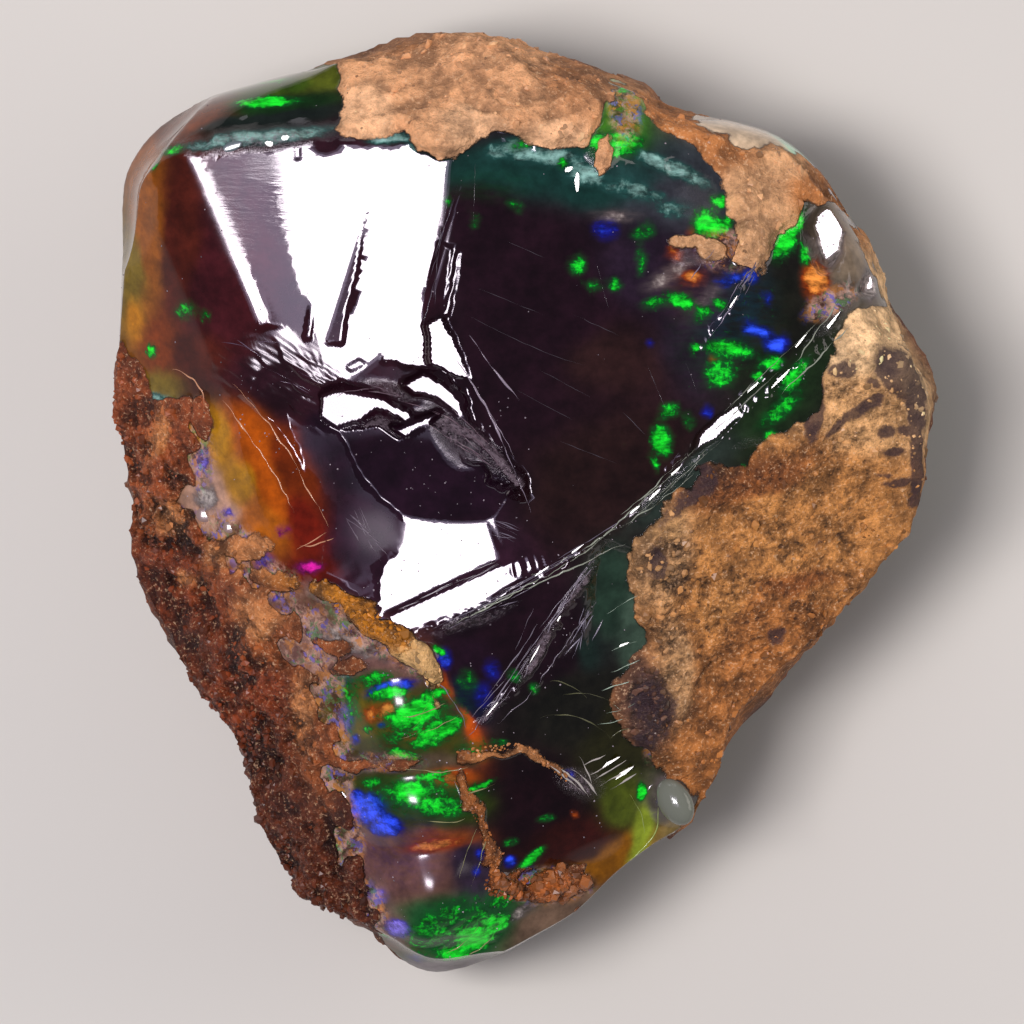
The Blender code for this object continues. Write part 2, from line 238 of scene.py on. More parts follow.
def makeFloor():
    bm = bmesh.new()
    bmesh.ops.create_grid(bm, x_segments=1, y_segments=1, size=floorSetup["size"] / 2 * mm)
    bmesh.ops.translate(bm, verts=bm.verts, vec=(0.0, 0.0, -floorSetup["drop"] * mm))
    mesh = meshFrom(bm, "floor")
    material, tree, shader = newMaterial("matt painted board")  # even, with no shine
    shader.inputs["Base Color"].default_value = (*toLinear(floorSetup["colour"]), 1.0)
    shader.inputs["Roughness"].default_value = floorSetup["roughness"]
    shader.inputs["Specular IOR Level"].default_value = floorSetup["shine"]
    mesh.materials.append(material)
    newObject("floor", mesh)


stoneForm = {
    "rimHeight": 9.6,  # the widest outline, above the resting face
    "rimLean": 1.4,
    "rimHighSide": 130,
    "crown": 14,  # the dome above the rim, before the faces cut it
    "keel": 12,
    "crownBoxiness": 4.2,
    "keelBoxiness": 2.3,
    "leastDome": 0.07,  # the low dome left above the rim under every face, as a share of the keel
    "shelfRound": 0.6,  # how round the line is where a face runs out onto it
    "baseRound": 1,
    "swellPower": 1.5,
    "restBand": 1.2,  # the relief fades out over this height above the resting face
}

outline = (  # the widest outline, clockwise from the upper left corner
    (-19.5, 14.6), (-19.4, 16), (-18.7, 17.1), (-17.5, 18.2), (-15.5, 19.3), (-12.9, 20.1), (-10.5, 20.8),
    (-8.6, 21.6), (-6.2, 22.3), (-3.8, 22.5), (-1.3, 22.2), (0.6, 21.5), (3, 20.9), (5.4, 20.3),
    (6.3, 19.5), (7.8, 18.7), (10.2, 18.2), (12.1, 17.5), (13.8, 16.1), (15.2, 14.1), (16.4, 12.2),
    (17.4, 9.8), (18.4, 8.1), (19.4, 6.4), (19.6, 5), (19.1, 3.1), (18.8, 0.7), (18.1, -1.2),
    (16.9, -2.8), (14.8, -5.1), (13.1, -7), (11.4, -9.4), (9.7, -11.1), (9, -12.8), (8.3, -14.2),
    (7.5, -15.4), (5.9, -16.4), (4.2, -17.7), (2.3, -19.5), (0.3, -20.7), (-1.6, -21.7), (-4, -22.5),
    (-5.6, -22.2), (-6.9, -21.1), (-8.2, -19.9), (-10.2, -18.9), (-11.5, -17.5), (-12.4, -15.4),
    (-13.1, -13), (-14.1, -10.6), (-16.1, -8), (-17.8, -5.3), (-18.8, -2.9), (-18.8, -0.3), (-19.2, 2.6),
    (-19.6, 5), (-19.5, 7.9), (-19.4, 11.2),
)

# Fracture faces: a point, its height, the rise along x and y, the dish (1/mm), the edge rounding.
litFace = ((-8, 10), 22.1, (0.13, 0), 0, 0.1)
litWave = {  # the lit face has a narrow lit band along its left side, with a dim trough between
    "band": (-15.1, 0.43), "flat": (-11.3, 0.21),  # x of each line at y = 15, and its lean
    "trough": 0.115, "profile": ((0, 0), (0.07, 1), (0.93, 0.75), (1, 0)),
    "rollBend": 0.26, "rollSlope": 0.85,  # left of the band the face rolls over the side
    "rollStart": 0.15, "leastGap": 1.2, "fromY": 15, "steps": 81,
}
faces = {
    "dark face": ((2, 6), 22.06, (-0.07, 0), 0.003, 0.1),
    "below the ridge": ((0, -3.9), 22.4, (-0.017, 0.362), 0.004, 0.08),
    "right of the ridge": ((8.6, 3.05), 21.75, (-0.294, 0.27), 0, 0.15),
    "right wedge": ((5.4, -1.2), 21.64, (-0.486, 0.5), 0, 0.2),
    "left flank": ((-13, -4), 18.4, (0.78, 0.45), 0, 1),
    "back bevel": ((-12, 17.2), 21.7, (0.04, -0.95), 0.02, 0.12),
    "back rock": ((-2, 16.8), 22.98, (0, -0.62), 0, 0.3),
    "upper right rock": ((13.5, 12.5), 19.4, (-0.42, -0.42), 0, 1.2),
}
cuts = {  # faces kept to one part of the top, with a wall of this slope around them
    # point, height, rise, dish, rounding, wall, wander, edge
    "lower lit face": ((-3.5, -2.8), 22.15, (0.128, 0.012), 0, 0.08, 0.5, 0, (
        (-9, 1.5), (4, 1.5), (4, -9), (-9, -9),
    )),
    "ledge": ((-5, 6.2), 22.15, (0.02, 0.14), 0, 0.05, 1.5, 0.3, (
        (-9.3, 7.5), (-8.2, 7.8), (-7.4, 7.5), (-7, 6.8), (-6.2, 6.5), (-5.2, 6.2), (-4, 6.1),
        (-3.3, 5.3), (-2.8, 4), (-2.2, 3), (-1.3, 2.1), (-0.5, 1.2), (-0.4, 0.6), (-2, 1.6), (-4, 2.8),
        (-6.2, 2.4), (-9, 3.2), (-9.7, 4.4), (-9.4, 6),
    )),
    "hackle fan": ((-11.5, 6.2), 21.6, (0.22, 0.12), 0, 0.15, 0.8, 0.2, (
        (-15.5, 7.5), (-13.8, 8.2), (-11, 8.2), (-8.9, 7.6), (-8.6, 6.9), (-8.8, 5.7), (-9.3, 4),
        (-9.5, 3.1), (-11.4, 3.8), (-13.6, 5.2), (-15, 6.4),
    )),
    "wedge": ((-7.8, 13.7), 22.126, (0.02, 0.035), 0, 0.02, 1.5, 0.05, (
        (-7.9, 13.9), (-7.65, 13.9), (-8.1, 11), (-8.6, 9), (-8.8, 7.6), (-9.8, 7.6), (-9, 10.4),
    )),
    "side wedge": ((-9.85, 11.5), 21.86, (0.02, 0.02), 0, 0.02, 1.5, 0.04, (
        (-9.9, 11.6), (-9.75, 11.6), (-10.1, 9.6), (-10.3, 7.8), (-10.6, 7.8), (-10.3, 9.8),
    )),
    "right notch": ((-4.9, 9.4), 22.5, (-0.07, 0.02), 0, 0.02, 1.2, 0.05, (
        (-5, 9.2), (-4.2, 12.4), (-3.6, 12), (-4, 9.2), (-4.2, 8.7), (-5, 8.3),
    )),
    "septum": ((-8.5, -0.5), 21.22, (0.238, -0.01), 0, 0.04, 0.5, 0.2, (
        (-11.5, 4.2), (-9, 3.4), (-8, 1.2), (-6.6, -0.1), (-5.9, -0.9), (-5.8, -1.9), (-6.9, -2.8),
        (-7.4, -3.6), (-7.3, -4.4), (-9.4, -5.2), (-9.8, -3.5), (-9.8, -1), (-10.4, 1.2),
    )),
    "sliver": ((-2.5, -4), 22.11, (0.128, 0.004), 0, 0.05, 0.7, 0, (
        (-6.6, -5.3), (-1.6, -3), (1.6, -1.9), (3.4, -2.4), (0, -5), (-5.6, -7.4),
    )),
    "black scoop": ((-3, -0.35), 22.145, (0.13, -0.1675), 0.015, 0.03, 1.7, 0.08, (
        (-11.8, 3.4), (-10.6, 3.7), (-9.3, 3.7), (-8.6, 3.5), (-7.1, 3.7), (-6.2, 3.1), (-5.6, 3.5),
        (-4.7, 3.8), (-4, 3.6), (-2.8, 3.1), (-1.8, 2.4), (-1.1, 1.4), (-0.5, 0.7), (-0.9, -0.6),
        (-3, -1.8), (-6.6, -1.8), (-7.6, -1), (-9.2, -0.4), (-10.2, 0.8), (-11.4, 2),
    )),
    "amber chip": ((-12.4, 1.4), 20.1, (0.3, 0.12), 0.03, 0.04, 1.1, 0.1, (
        (-15.5, 5.3), (-13.8, 5), (-12.4, 4), (-11, 2.6), (-10, 1.2), (-9.5, -0.8), (-9.9, -3),
        (-11.4, -3.3), (-13.4, -2), (-14.6, -0.3), (-15.3, 1.6), (-15.5, 3.6),
    )),
    "green glass scar": ((4.2, -5.4), 19.9, (-0.3, 0.3), 0.03, 0.1, 1.2, 0.15, (
        (3.4, -1.9), (4.7, -2.4), (5.3, -4.6), (5.6, -6.5), (5.3, -7.7), (3, -8.6), (2.9, -6.5),
        (3.2, -4.6),
    )),
}
patchForm = {"wall": 2.5, "wander": 0.12, "rounding": 0.015, "fade": (-0.3, -0.05)}
litPatches = {  # small faces turned like the lit face: point, how far below its lowest edge, edge
    "right glass": ((14.3, 12.9), 0.02, (
        (13.5, 13.2), (13.9, 14), (14.7, 14.1), (15.1, 13.2), (14.8, 12), (14.2, 11.5), (13.8, 12.2),
    )),
    "right edge glass": ((16.4, 10.9), 0.02, (
        (16, 10.2), (16.3, 10.1), (16.9, 11.3), (17, 12), (16.6, 11.8),
    )),
    "ledge splash": ((-8.4, 4.7), 0.03, (
        (-9.8, 5.1), (-8.8, 5.4), (-7.1, 5.1), (-5.7, 4.4), (-5, 3.8), (-5.9, 4), (-7.1, 4.4),
        (-8.1, 3.8), (-9, 3.6), (-9.8, 4.1),
    )),
    "ledge leaf": ((-4.6, 5.5), 0.02, (
        (-5.9, 5.7), (-5, 6.1), (-4, 5.7), (-3.2, 4.8), (-2.8, 3.8), (-3.5, 4.3), (-4.5, 5), (-5.4, 5.2),
    )),
    "scoop spike": ((-5.3, 3.7), 0.02, (
        (-6.4, 3.6), (-5.4, 4), (-4.2, 4.3), (-5, 3.6), (-5.8, 3.1),
    )),
    "ledge eye": ((-8.1, 6.6), 0.02, ((-8.6, 6.5), (-8, 6.9), (-7.7, 6.6), (-8.2, 6.3))),
    "ridge facet": ((9, 3.6), 0.02, (
        (7.7, 2.4), (8, 3.2), (9, 4.2), (9.9, 4.8), (10.1, 4.2), (9, 3.1),
    )),
    "lit corner": ((-3.8, 7.2), 0.02, (
        (-4.8, 8.5), (-4.1, 8.9), (-3.6, 8), (-3, 6.6), (-2.7, 5.9), (-3.6, 6.1), (-4.6, 6.6),
    )),
    "lit streak": ((-3.6, 10), 0.01, ((-3.35, 11.9), (-3.15, 11.9), (-3.8, 8.9), (-4.2, 8.6))),
}
furrows = {  # shallow grooves that bend the reflection: half width, depth, route
    "right streak": (0.2, 0.012, ((-2.9, 16.2), (-4.1, 12), (-4.8, 8.6))),
    "right streak 2": (0.16, 0.012, ((-3.3, 15), (-4, 12), (-5, 8.8))),
    "top notch": (0.22, 0.02, ((-10.9, 17.4), (-10.9, 16.4))),
    "lower streak": (0.25, 0.015, ((-1.8, -0.9), (-1.3, -2), (-0.4, -2.6))),
}
baseFaces = (  # bearing, distance where each starts, slope
    (0, 8.5, 0.55), (50, 9.5, 0.65), (105, 10.5, 0.5), (160, 9, 0.7), (210, 8, 0.6), (262, 10.5, 0.45),
    (312, 7.5, 0.5),
)
sideScars = (  # bearing, height, radius, depth
    (108, 14.5, 4.5, 0.9), (140, 15.5, 5.5, 1.2), (165, 3.5, 6, 1.6), (196, 16, 4, 0.8), (228, 4, 6, 1.5),
    (258, 13.5, 4, 0.8), (285, 4.5, 5.5, 1.4), (318, 15, 4, 0.7), (345, 4, 6, 1.6), (20, 14, 4.5, 0.9),
    (52, 4.5, 6.5, 1.6), (75, 15.5, 4, 0.8), (112, 3.5, 6, 1.4),
)

swells = {  # rounded swellings of the glass: middle, half sizes, height
    "upper lobe": ((-5.8, -10.2), (3.4, 2.1), 0.7),
    "middle lobe": ((-5.2, -14.7), (3.6, 1.9), 0.7),
    "lower lobe": ((-4.2, -19), (4.4, 2.6), 0.9),
    "dark cell": ((2, -15), (3.6, 2.6), 0.7),
    "clear bead": ((6.9, -14.2), (1.5, 1.3), 1.1),
    "vein knob": ((-4.9, -7.4), (1.3, 0.9), 0.5),
}
ropes = {  # rock that follows cracks: height, half width, route
    "middle vein": (0.2, 0.42, (
        (-9.8, -3.9), (-8.6, -4.7), (-7.2, -5.7), (-5.8, -6.5), (-5, -7.3), (-4.5, -8.2),
    )),
    "upper cell vein": (0.1, 0.19, (
        (-3.2, -11.8), (-1.8, -11.7), (-0.4, -11.5), (0.8, -12.2), (1.9, -13),
    )),
    "left cell vein": (0.1, 0.2, (
        (-3, -12.6), (-2.6, -14.3), (-2, -15.7), (-1.4, -16.7), (-1.7, -17.8),
    )),
    "lower cell vein": (0.16, 0.5, (
        (-1.5, -18.1), (-0.2, -18.4), (1.2, -18), (2.4, -18),
    )),
}
rockEdges = {  # host rock
    "back rock": (
        (-9.1, 19.7), (-8.5, 18.8), (-9.3, 18.1), (-8.7, 17.3), (-6.2, 17.6), (-5.2, 16.4), (-3.3, 16.2),
        (-1.6, 17.6), (-0.4, 17.5), (0.8, 16.4), (2.6, 17), (3.7, 18.9), (4, 20.1), (3.5, 23.3),
        (-9, 23.3),
    ),
    "upper right rock": (
        (5.4, 23.3), (4.7, 19.9), (5.4, 18.5), (7.8, 16.8), (9.5, 15.1), (9.6, 12.2), (10.9, 10.5),
        (11.9, 12.5), (13.1, 14.4), (15, 14), (14.6, 15.6), (12.9, 16.6), (10.6, 17), (8.4, 17.6),
        (7, 19.8),
    ),
    "right edge rock": (
        (15.3, 13.2), (16.2, 11.6), (16.9, 9.4), (15.1, 8.9), (16, 7.4), (22.7, 6), (20.3, 11.7),
        (17.2, 14),
    ),
    "right rock": (
        (15.1, 8.9), (14.5, 8.1), (14.1, 6.2), (13.7, 4.5), (11.2, 3.1), (10.4, 1.9), (8.3, 1.6),
        (6.3, 0.2), (5.4, -1.2), (4.8, -2.7), (5, -4.6), (5.5, -6.5), (4.4, -7.7), (3.9, -9.2),
        (4.3, -10.7), (5.3, -11.8), (5.8, -12.3), (7.8, -13.5), (8.5, -14.2), (11.2, -14.2), (22.7, -2.7),
        (22.7, 9.8), (17.6, 9.8),
    ),
    "left rock": (
        (-22.5, 8.4), (-19.4, 7.6), (-18.2, 6.2), (-17.7, 4.8), (-16, 5.2), (-15.5, 4), (-15.9, 1.6),
        (-16.5, 0.2), (-15.2, -1.4), (-14.3, -2.7), (-12.5, -4.1), (-11.6, -5.6), (-10.9, -7.5),
        (-9.7, -8.9), (-9.5, -12.3), (-8.8, -14.2), (-8.6, -16.2), (-7.8, -17.6), (-8.1, -19.3),
        (-6.9, -21.2), (-7.1, -23.8), (-22.5, -23.8),
    ),
}
rockIslands = (  # x, y, half length, half width and any degrees
    (-13.6, -2, 1.6, 0.6, -8), (-12, -3.6, 1.3, 0.5, -20), (-6.8, -5.9, 1.4, 0.6, -25),
    (-9.4, -6.6, 1, 0.35, -10), (-8.4, -7.6, 0.9, 0.4), (-8.4, -12.3, 1.5, 0.35),
    (-6.3, -12.2, 0.8, 0.25, 10), (-8.6, -18.6, 1.2, 0.6, 20), (-7.6, -21, 0.7, 0.3, -30),
    (-15.4, 4.2, 0.5, 0.9, 10), (7.4, 12.3, 0.9, 0.4, 10), (8.7, 11.9, 0.8, 0.5), (3.7, 16.6, 0.5, 0.9),
    (2.6, -19.6, 0.7, 0.4, 30),
)
mixedZones = (  # rock and opal crumbs among each other: x, y, half sizes, strength and any degrees
    (-14.6, -1.6, 2, 1.1, 1, -25), (-12.4, -3.6, 1.8, 1, 1, -20), (-10.8, -6.2, 1.6, 1.4, 1.2, -45),
    (-9.6, -9.2, 0.9, 2.2, 1.1), (-9.2, -12.6, 0.9, 2.6, 1.2), (-8.8, -16.2, 1, 2.2, 1.2),
    (-8, -19.4, 1.2, 1.8, 1.2, 20), (-7.4, -6.2, 2, 0.9, 1, -25), (-6.8, -12.2, 2, 0.5, 0.8),
    (-15.6, 2.4, 0.8, 2, 0.8), (9.4, 12, 1.4, 1, 1), (5.8, -9.6, 0.5, 3, 0.7),
    (14.4, 9.6, 1.6, 0.7, 0.9, 30), (4.6, 19, 0.9, 2, 0.9), (15.4, 14.2, 1.6, 0.7, 0.8, -50),
    (0.8, -18.2, 2.2, 0.9, 1), (-8.6, -5, 2, 0.7, 0.8, -30), (-5.6, -7.2, 1.4, 0.9, 0.7, -40),
)
# Layers of noise: wavelength and height in mm.
rockLumps = ((4, 0.35), (1.9, 0.2), (0.42, 0.09))
rockKnobs = ((1.3, 1), (0.65, 0.75), (0.33, 0.35))  # hummocks and pits of the weathered skin
rockCrumbs = ((1.5, 1.5), (0.7, 1))  # in the mixed zones
rockLayers = ((5, 3.2), (1.6, 0.9), (0.7, 0.3))  # thin crusts, one over the other
glassWaves = ((9, 0.06),)
cutWander = ((1.1, 1), (0.45, 0.5))
colourWander = ((1.9, 0.45), (0.7, 0.2))
combWobble = ((3.2, 1.3), (1.1, 0.4))
noiseShift = {  # each noise is taken from another place, so that no two of them match
    "cuts": (70, 90), "colours": (30, 60), "combs": (4, 9), "sideTop": 12, "crumbs": 140,
    "veins": 77, "knobs": 33, "layers": 51, "uneven": 17, "grit": 21,
}

# On the side the glass runs down to this height, and below it is rock: (bearing, height).
sideRockTop = (
    (-180, 14), (-172, 14), (-112, 14), (-104, 7), (-96, 6), (-84, 7), (-76, 8), (-68, 9), (-64, 14),
    (22, 14), (34, 10), (60, 9), (66, 13), (112, 13), (120, 8), (135, 6), (150, 7), (158, 9), (164, 14),
    (180, 14),
)

outlineCurve = closedCurve(outline)
outlineAngles = np.arctan2(outlineCurve[:, 1], outlineCurve[:, 0])
outlineReach = np.hypot(outlineCurve[:, 0], outlineCurve[:, 1])


def reach(bearing):
    order = np.argsort(outlineAngles)
    return np.interp(bearing, outlineAngles[order], outlineReach[order], period=2 * np.pi)


def faceHeight(plan, at, height, rise, dish):
    away = plan - np.array(at)
    return height + away @ np.array(rise) + 0.5 * dish * (away ** 2).sum(1)


def litFaceHeight(plan):
    wave = litWave
    at, height, rise, dish, rounding = litFace
    band, flat = (x + lean * (wave["fromY"] - plan[:, 1]) for x, lean in (wave["band"], wave["flat"]))
    gap = np.maximum(flat - band, wave["leastGap"])
    across, depth = np.array(wave["profile"]).T
    steps = np.linspace(0.0, 1.0, wave["steps"])
    sunk = np.cumsum(np.interp(steps, across, depth)) / len(steps)
    share = (plan[:, 0] - band) / gap
    trough = wave["trough"] * gap * (sunk[-1] - np.interp(share, steps, sunk))
    beyond = np.clip(band - wave["rollStart"] - plan[:, 0], 0.0, None)
    bent = np.minimum(beyond, wave["rollSlope"] / wave["rollBend"])
    roll = wave["rollBend"] * bent * (beyond - 0.5 * bent)
    return faceHeight(plan, at, height, rise, dish) + trough - roll


def carvedFaces(plan, dome):
    # the dome, cut by the faces, with its swellings and scars
    top = roundedMin(dome, litFaceHeight(plan), litFace[4])
    for at, height, rise, dish, rounding in faces.values():
        top = roundedMin(top, faceHeight(plan, at, height, rise, dish), rounding)
    for middle, halfSizes, height in swells.values():
        away = (plan - np.array(middle)) / np.array(halfSizes)
        top = top + height * np.clip(1.0 - (away ** 2).sum(1), 0.0, 1.0) ** stoneForm["swellPower"]
    flat = np.column_stack([plan, np.zeros(len(plan))])
    shift = np.stack([lumps(flat, cutWander, s) for s in noiseShift["cuts"]], 1)
    for at, height, rise, dish, rounding, wall, wander, edge in cuts.values():
        outside = np.clip(-depthInside(plan + wander * shift, edge), 0.0, None)
        top = roundedMin(top, faceHeight(plan, at, height, rise, dish) + wall * outside, rounding)
    for halfWidth, depth, route in furrows.values():
        top = top - depth * np.clip(1.0 - (routeDistance(plan, route) / halfWidth) ** 2, 0.0, 1.0) ** 2
    return top, shift


def patchHeights():
    # each patch is cut deep enough to reach all of its edge
    heights = {}
    for name, (at, drop, edge) in litPatches.items():
        corners = np.array(edge)
        surface = carvedFaces(corners, np.full(len(corners), skyHigh))[0]
        heights[name] = (surface - faceHeight(corners, at, 0.0, litFace[2], 0.0)).min() - drop
    return heights


def carvedHeight(plan, dome):
    top, shift = carvedFaces(plan, dome)
    for name, height in patchHeights().items():
        at, drop, edge = litPatches[name]
        outside = np.clip(-depthInside(plan + patchForm["wander"] * shift, edge), 0.0, None)
        patch = faceHeight(plan, at, height, litFace[2], 0.0) + patchForm["wall"] * outside
        top = roundedMin(top, patch, patchForm["rounding"])
    return top


def topHeight(plan, dome):
    return np.minimum(carvedHeight(plan, dome), dome)


def baseHeight(plan, hull):
    base = hull
    for bearing, start, slope in baseFaces:
        angle = math.radians(bearing)
        outward = plan @ np.array((math.cos(angle), math.sin(angle)))
        base = -roundedMin(-base, -slope * (outward - start), stoneForm["baseRound"])
    return np.maximum(base, 0.0)


def stonePoints(directions):
    form = stoneForm
    bearing = np.arctan2(directions[:, 1], directions[:, 0])
    share = np.clip(np.hypot(directions[:, 0], directions[:, 1]), 0.0, 1.0)
    plan = (share * reach(bearing))[:, None] * np.stack([np.cos(bearing), np.sin(bearing)], 1)
    lean = np.cos(bearing - math.radians(form["rimHighSide"])) * share
    rim = form["rimHeight"] + form["rimLean"] * lean
    dome = form["crown"] * (1.0 - share ** form["crownBoxiness"]) ** (1.0 / form["crownBoxiness"])
    hull = form["keel"] * (1.0 - share ** form["keelBoxiness"]) ** (1.0 / form["keelBoxiness"])
    top = -roundedMin(-topHeight(plan, rim + dome), -(rim + form["leastDome"] * hull), form["shelfRound"])
    base = np.minimum(baseHeight(plan, rim - hull), rim)
    points = np.column_stack([plan, np.where(directions[:, 2] > 0.0, top, base)])
    inward = np.zeros(len(points))
    for angle, height, radius, depth in sideScars:
        turn = math.radians(angle)
        middle = reach(turn) * np.array((math.cos(turn), math.sin(turn)))
        away = np.linalg.norm(points - np.append(middle, height), axis=1) / radius
        inward = np.maximum(inward, depth * np.clip(1.0 - away ** 2, 0.0, 1.0))
    points[:, 0] -= inward * np.cos(bearing)
    points[:, 1] -= inward * np.sin(bearing)
    return points


meshFineness = {  # the longest edge wanted, in mm
    "plain": 0.55, "rock": 0.25, "cells": 0.25, "scoop": 0.13, "lines": 0.15, "side": 0.75,
    "bend": 0.018, "bendEdge": 0.187,  # an edge over the second is split where the form bends by the first
    "rockMargin": 0.4, "lineMargin": 0.2, "furrowMargin": 0.1, "cutMargin": 0.2,  # around each zone
    "sideBelow": 13.5,  # height above the resting face
    "start": 5, "rounds": 4,  # subdivisions of the first ball, and rounds of splitting
}
roughLines = {  # crushed ridges and cracks: half width, height, route
    "long ridge": (0.42, 0.1, (
        (15.2, 8.8), (13.1, 6.7), (11.2, 5), (9.2, 3.6), (7.3, 1.4), (5.4, -0.3), (3.5, -1.7), (2, -2.7),
        (0.1, -3.7), (-2.3, -5.1), (-5.4, -6.3),
    )),
    "inner ridge": (0.2, 0.06, ((15.2, 9.6), (12.6, 7), (10.2, 5.2), (8.4, 3.4), (6.6, 1.6))),
    "crack": (0.36, 0.13, (
        (3.5, -2), (2.3, -4.1), (0.8, -6.5), (-0.4, -8.5), (-1.8, -9.9), (-2.8, -10.9),
    )),
    "side crack": (0.18, 0.07, ((3, -4.6), (2.1, -6), (1.2, -7.4), (0.2, -8.9))),
    "ray": (0.12, 0.05, ((2.9, -5), (1.5, -6.6), (0.6, -8))),
    "upper crack": (0.22, 0.07, ((10.4, 11), (9.7, 9.3), (9, 8.6), (8.2, 7.4))),
}
fineZones = {  # where the mesh is finer: x, y, half length, half width and any degrees
    "cells": (-3, -14.5, 9, 9.5), "scoop": (-7.2, 4, 8.2, 4.2, -20), "lines": (-3.4, -3.4, 5, 2.4, 24),
}


def patchShare(plan):
    inside = np.max([depthInside(plan, edge) for at, drop, edge in litPatches.values()], axis=0)
    return smoothStep(*patchForm["fade"], inside)


def wantedLength(points, isTop):
    fineness, plan = meshFineness, points[:, :2]
    length = np.full(len(points), fineness["plain"])
    for edge in rockEdges.values():
        length[depthInside(plan, edge) > -fineness["rockMargin"]] = fineness["rock"]
    for name, zone in fineZones.items():
        length[spotDistance(plan, *zone) < 1.0] = fineness[name]
    for lines, margin in ((roughLines, "lineMargin"), (furrows, "furrowMargin")):
        for halfWidth, height, route in lines.values():
            length[routeDistance(plan, route) < halfWidth + fineness[margin]] = fineness["lines"]
    for name in ("wedge", "side wedge", "right notch"):
        length[depthInside(plan, cuts[name][-1]) > -fineness["cutMargin"]] = fineness["lines"]
    length[patchShare(plan) > 0.0] = fineness["lines"]
    length[~isTop | (points[:, 2] < fineness["sideBelow"])] = fineness["side"]
    return length


def refineStone(bm):
    for turn in range(meshFineness["rounds"]):
        bm.verts.index_update()
        directions = np.array([v.co.normalized() for v in bm.verts])
        points = stonePoints(directions)
        ends = np.array([(e.verts[0].index, e.verts[1].index) for e in bm.edges])
        middles = directions[ends].sum(1)
        middles /= np.linalg.norm(middles, axis=1)[:, None]
        halfway = stonePoints(middles)
        length = np.linalg.norm(points[ends[:, 0]] - points[ends[:, 1]], axis=1)
        bend = np.linalg.norm(halfway - points[ends].mean(1), axis=1)
        wanted = wantedLength(halfway, middles[:, 2] > 0.0)
        split = length > wanted
        onTop = (middles[:, 2] > 0.0) & (halfway[:, 2] > meshFineness["sideBelow"])
        split |= (bend > meshFineness["bend"]) & onTop & (length > meshFineness["bendEdge"])
        chosen = [e for e, yes in zip(bm.edges, split) if yes]
        bmesh.ops.subdivide_edges(bm, edges=chosen, cuts=1, use_grid_fill=True)
        bmesh.ops.triangulate(bm, faces=[f for f in bm.faces if len(f.verts) > 3])
        for vert in bm.verts:
            vert.co.normalize()
        print("  round", turn + 1, "split", len(chosen), "edges, faces now", len(bm.faces))


def makeStoneMesh():
    bm = bmesh.new()
    bmesh.ops.create_icosphere(bm, subdivisions=meshFineness["start"], radius=1.0)
    refineStone(bm)
    directions = np.array([v.co.normalized() for v in bm.verts])
    isTop = directions[:, 2] > 0.0
    points = stonePoints(directions)
    for vert, point in zip(bm.verts, points):
        vert.co = point
    bm.normal_update()
    normals = np.array([v.normal for v in bm.verts])
    fields = stoneFields(points, isTop)
    points += normals * relief(points, isTop, normals, fields)[:, None]
    points[:, 2] = np.maximum(points[:, 2], 0.0)
    for vert, point in zip(bm.verts, points):
        vert.co = point * mm
    del fields["ropeHeight"]  # used up: the other fields colour the stone
    mesh = meshFrom(bm, "fire_opal")
    mesh.shade_smooth()
    for name, values in fields.items():
        if values.ndim == 1:
            mesh.attributes.new(name, "FLOAT", "POINT").data.foreach_set("value", values)
        else:
            rgba = np.column_stack([values, np.ones(len(values))]).ravel()
            mesh.attributes.new(name, "FLOAT_COLOR", "POINT").data.foreach_set("color", rgba)
    return mesh


combs = {  # parallel ribs left by the break: height, spacing, degrees of the ribs, spot
    "hackle fan": (-0.06, 0.6, -30, (-11.9, 5.9, 3.6, 1.9, -24)),
    "fine hackles": (-0.025, 0.24, -24, (-11.4, 6.2, 3.4, 1.8, -24)),
    "hackle tail": (0.05, 0.35, -36, (-9.6, 5, 1.4, 1.6, -20)),
    "lower face streaks": (0.012, 0.5, 26, (-8.6, -4, 1.2, 1.1, 20)),
    "lower corner streaks": (0.012, 0.45, 24, (-2.9, -3.2, 1.7, 0.8, 25)),
    "sliver ribs": (-0.07, 0.45, 104, (0.2, -2.75, 1.5, 0.5, 24)),
    "upper lobe ribs": (0.03, 0.45, 24, (-5.3, -10.4, 2.1, 1.4, 15)),
    "middle lobe ribs": (0.025, 0.5, 55, (-4.6, -14, 1.9, 0.9)),
    "lower lobe ribs": (0.025, 0.5, 38, (-3.4, -20.6, 2.4, 1.3, 10)),
    "right band ribs": (0.03, 0.4, 50, (12.4, 5.2, 2.4, 1.1, 48)),
    "upper glass ribs": (0.025, 0.4, 62, (12.4, 12.6, 1, 1.8, -25)),
}
arcs = {  # conchoidal ribs around the point where the break began: height, spacing, centre, spot
    "amber arcs": (0.02, 1.1, (-18.5, 7.5), (-13.4, 1.2, 2, 3.4, 20)),
    "green glass arcs": (0.03, 0.6, (1.2, -1), (4.4, -5.6, 1.1, 3, 8)),
    "dark cell arcs": (0.025, 0.8, (6, -6), (3.4, -10.4, 2, 2.2)),
}
crestChips = {  # small bites out of the upper edge of the glass
    "routes": (
        ((-17.4, 16.4), (-15, 17.2), (-12, 17.6), (-9.4, 17.8)),
        ((-1.4, 17), (-0.2, 17.1), (1, 16), (3.2, 16), (5.6, 16.4), (7.2, 15.9)),
    ),
    "count": 19, "spread": (0.16, 0.32), "radius": (0.2, 0.55),
    "depth": 0.26,  # as a share of the radius
}

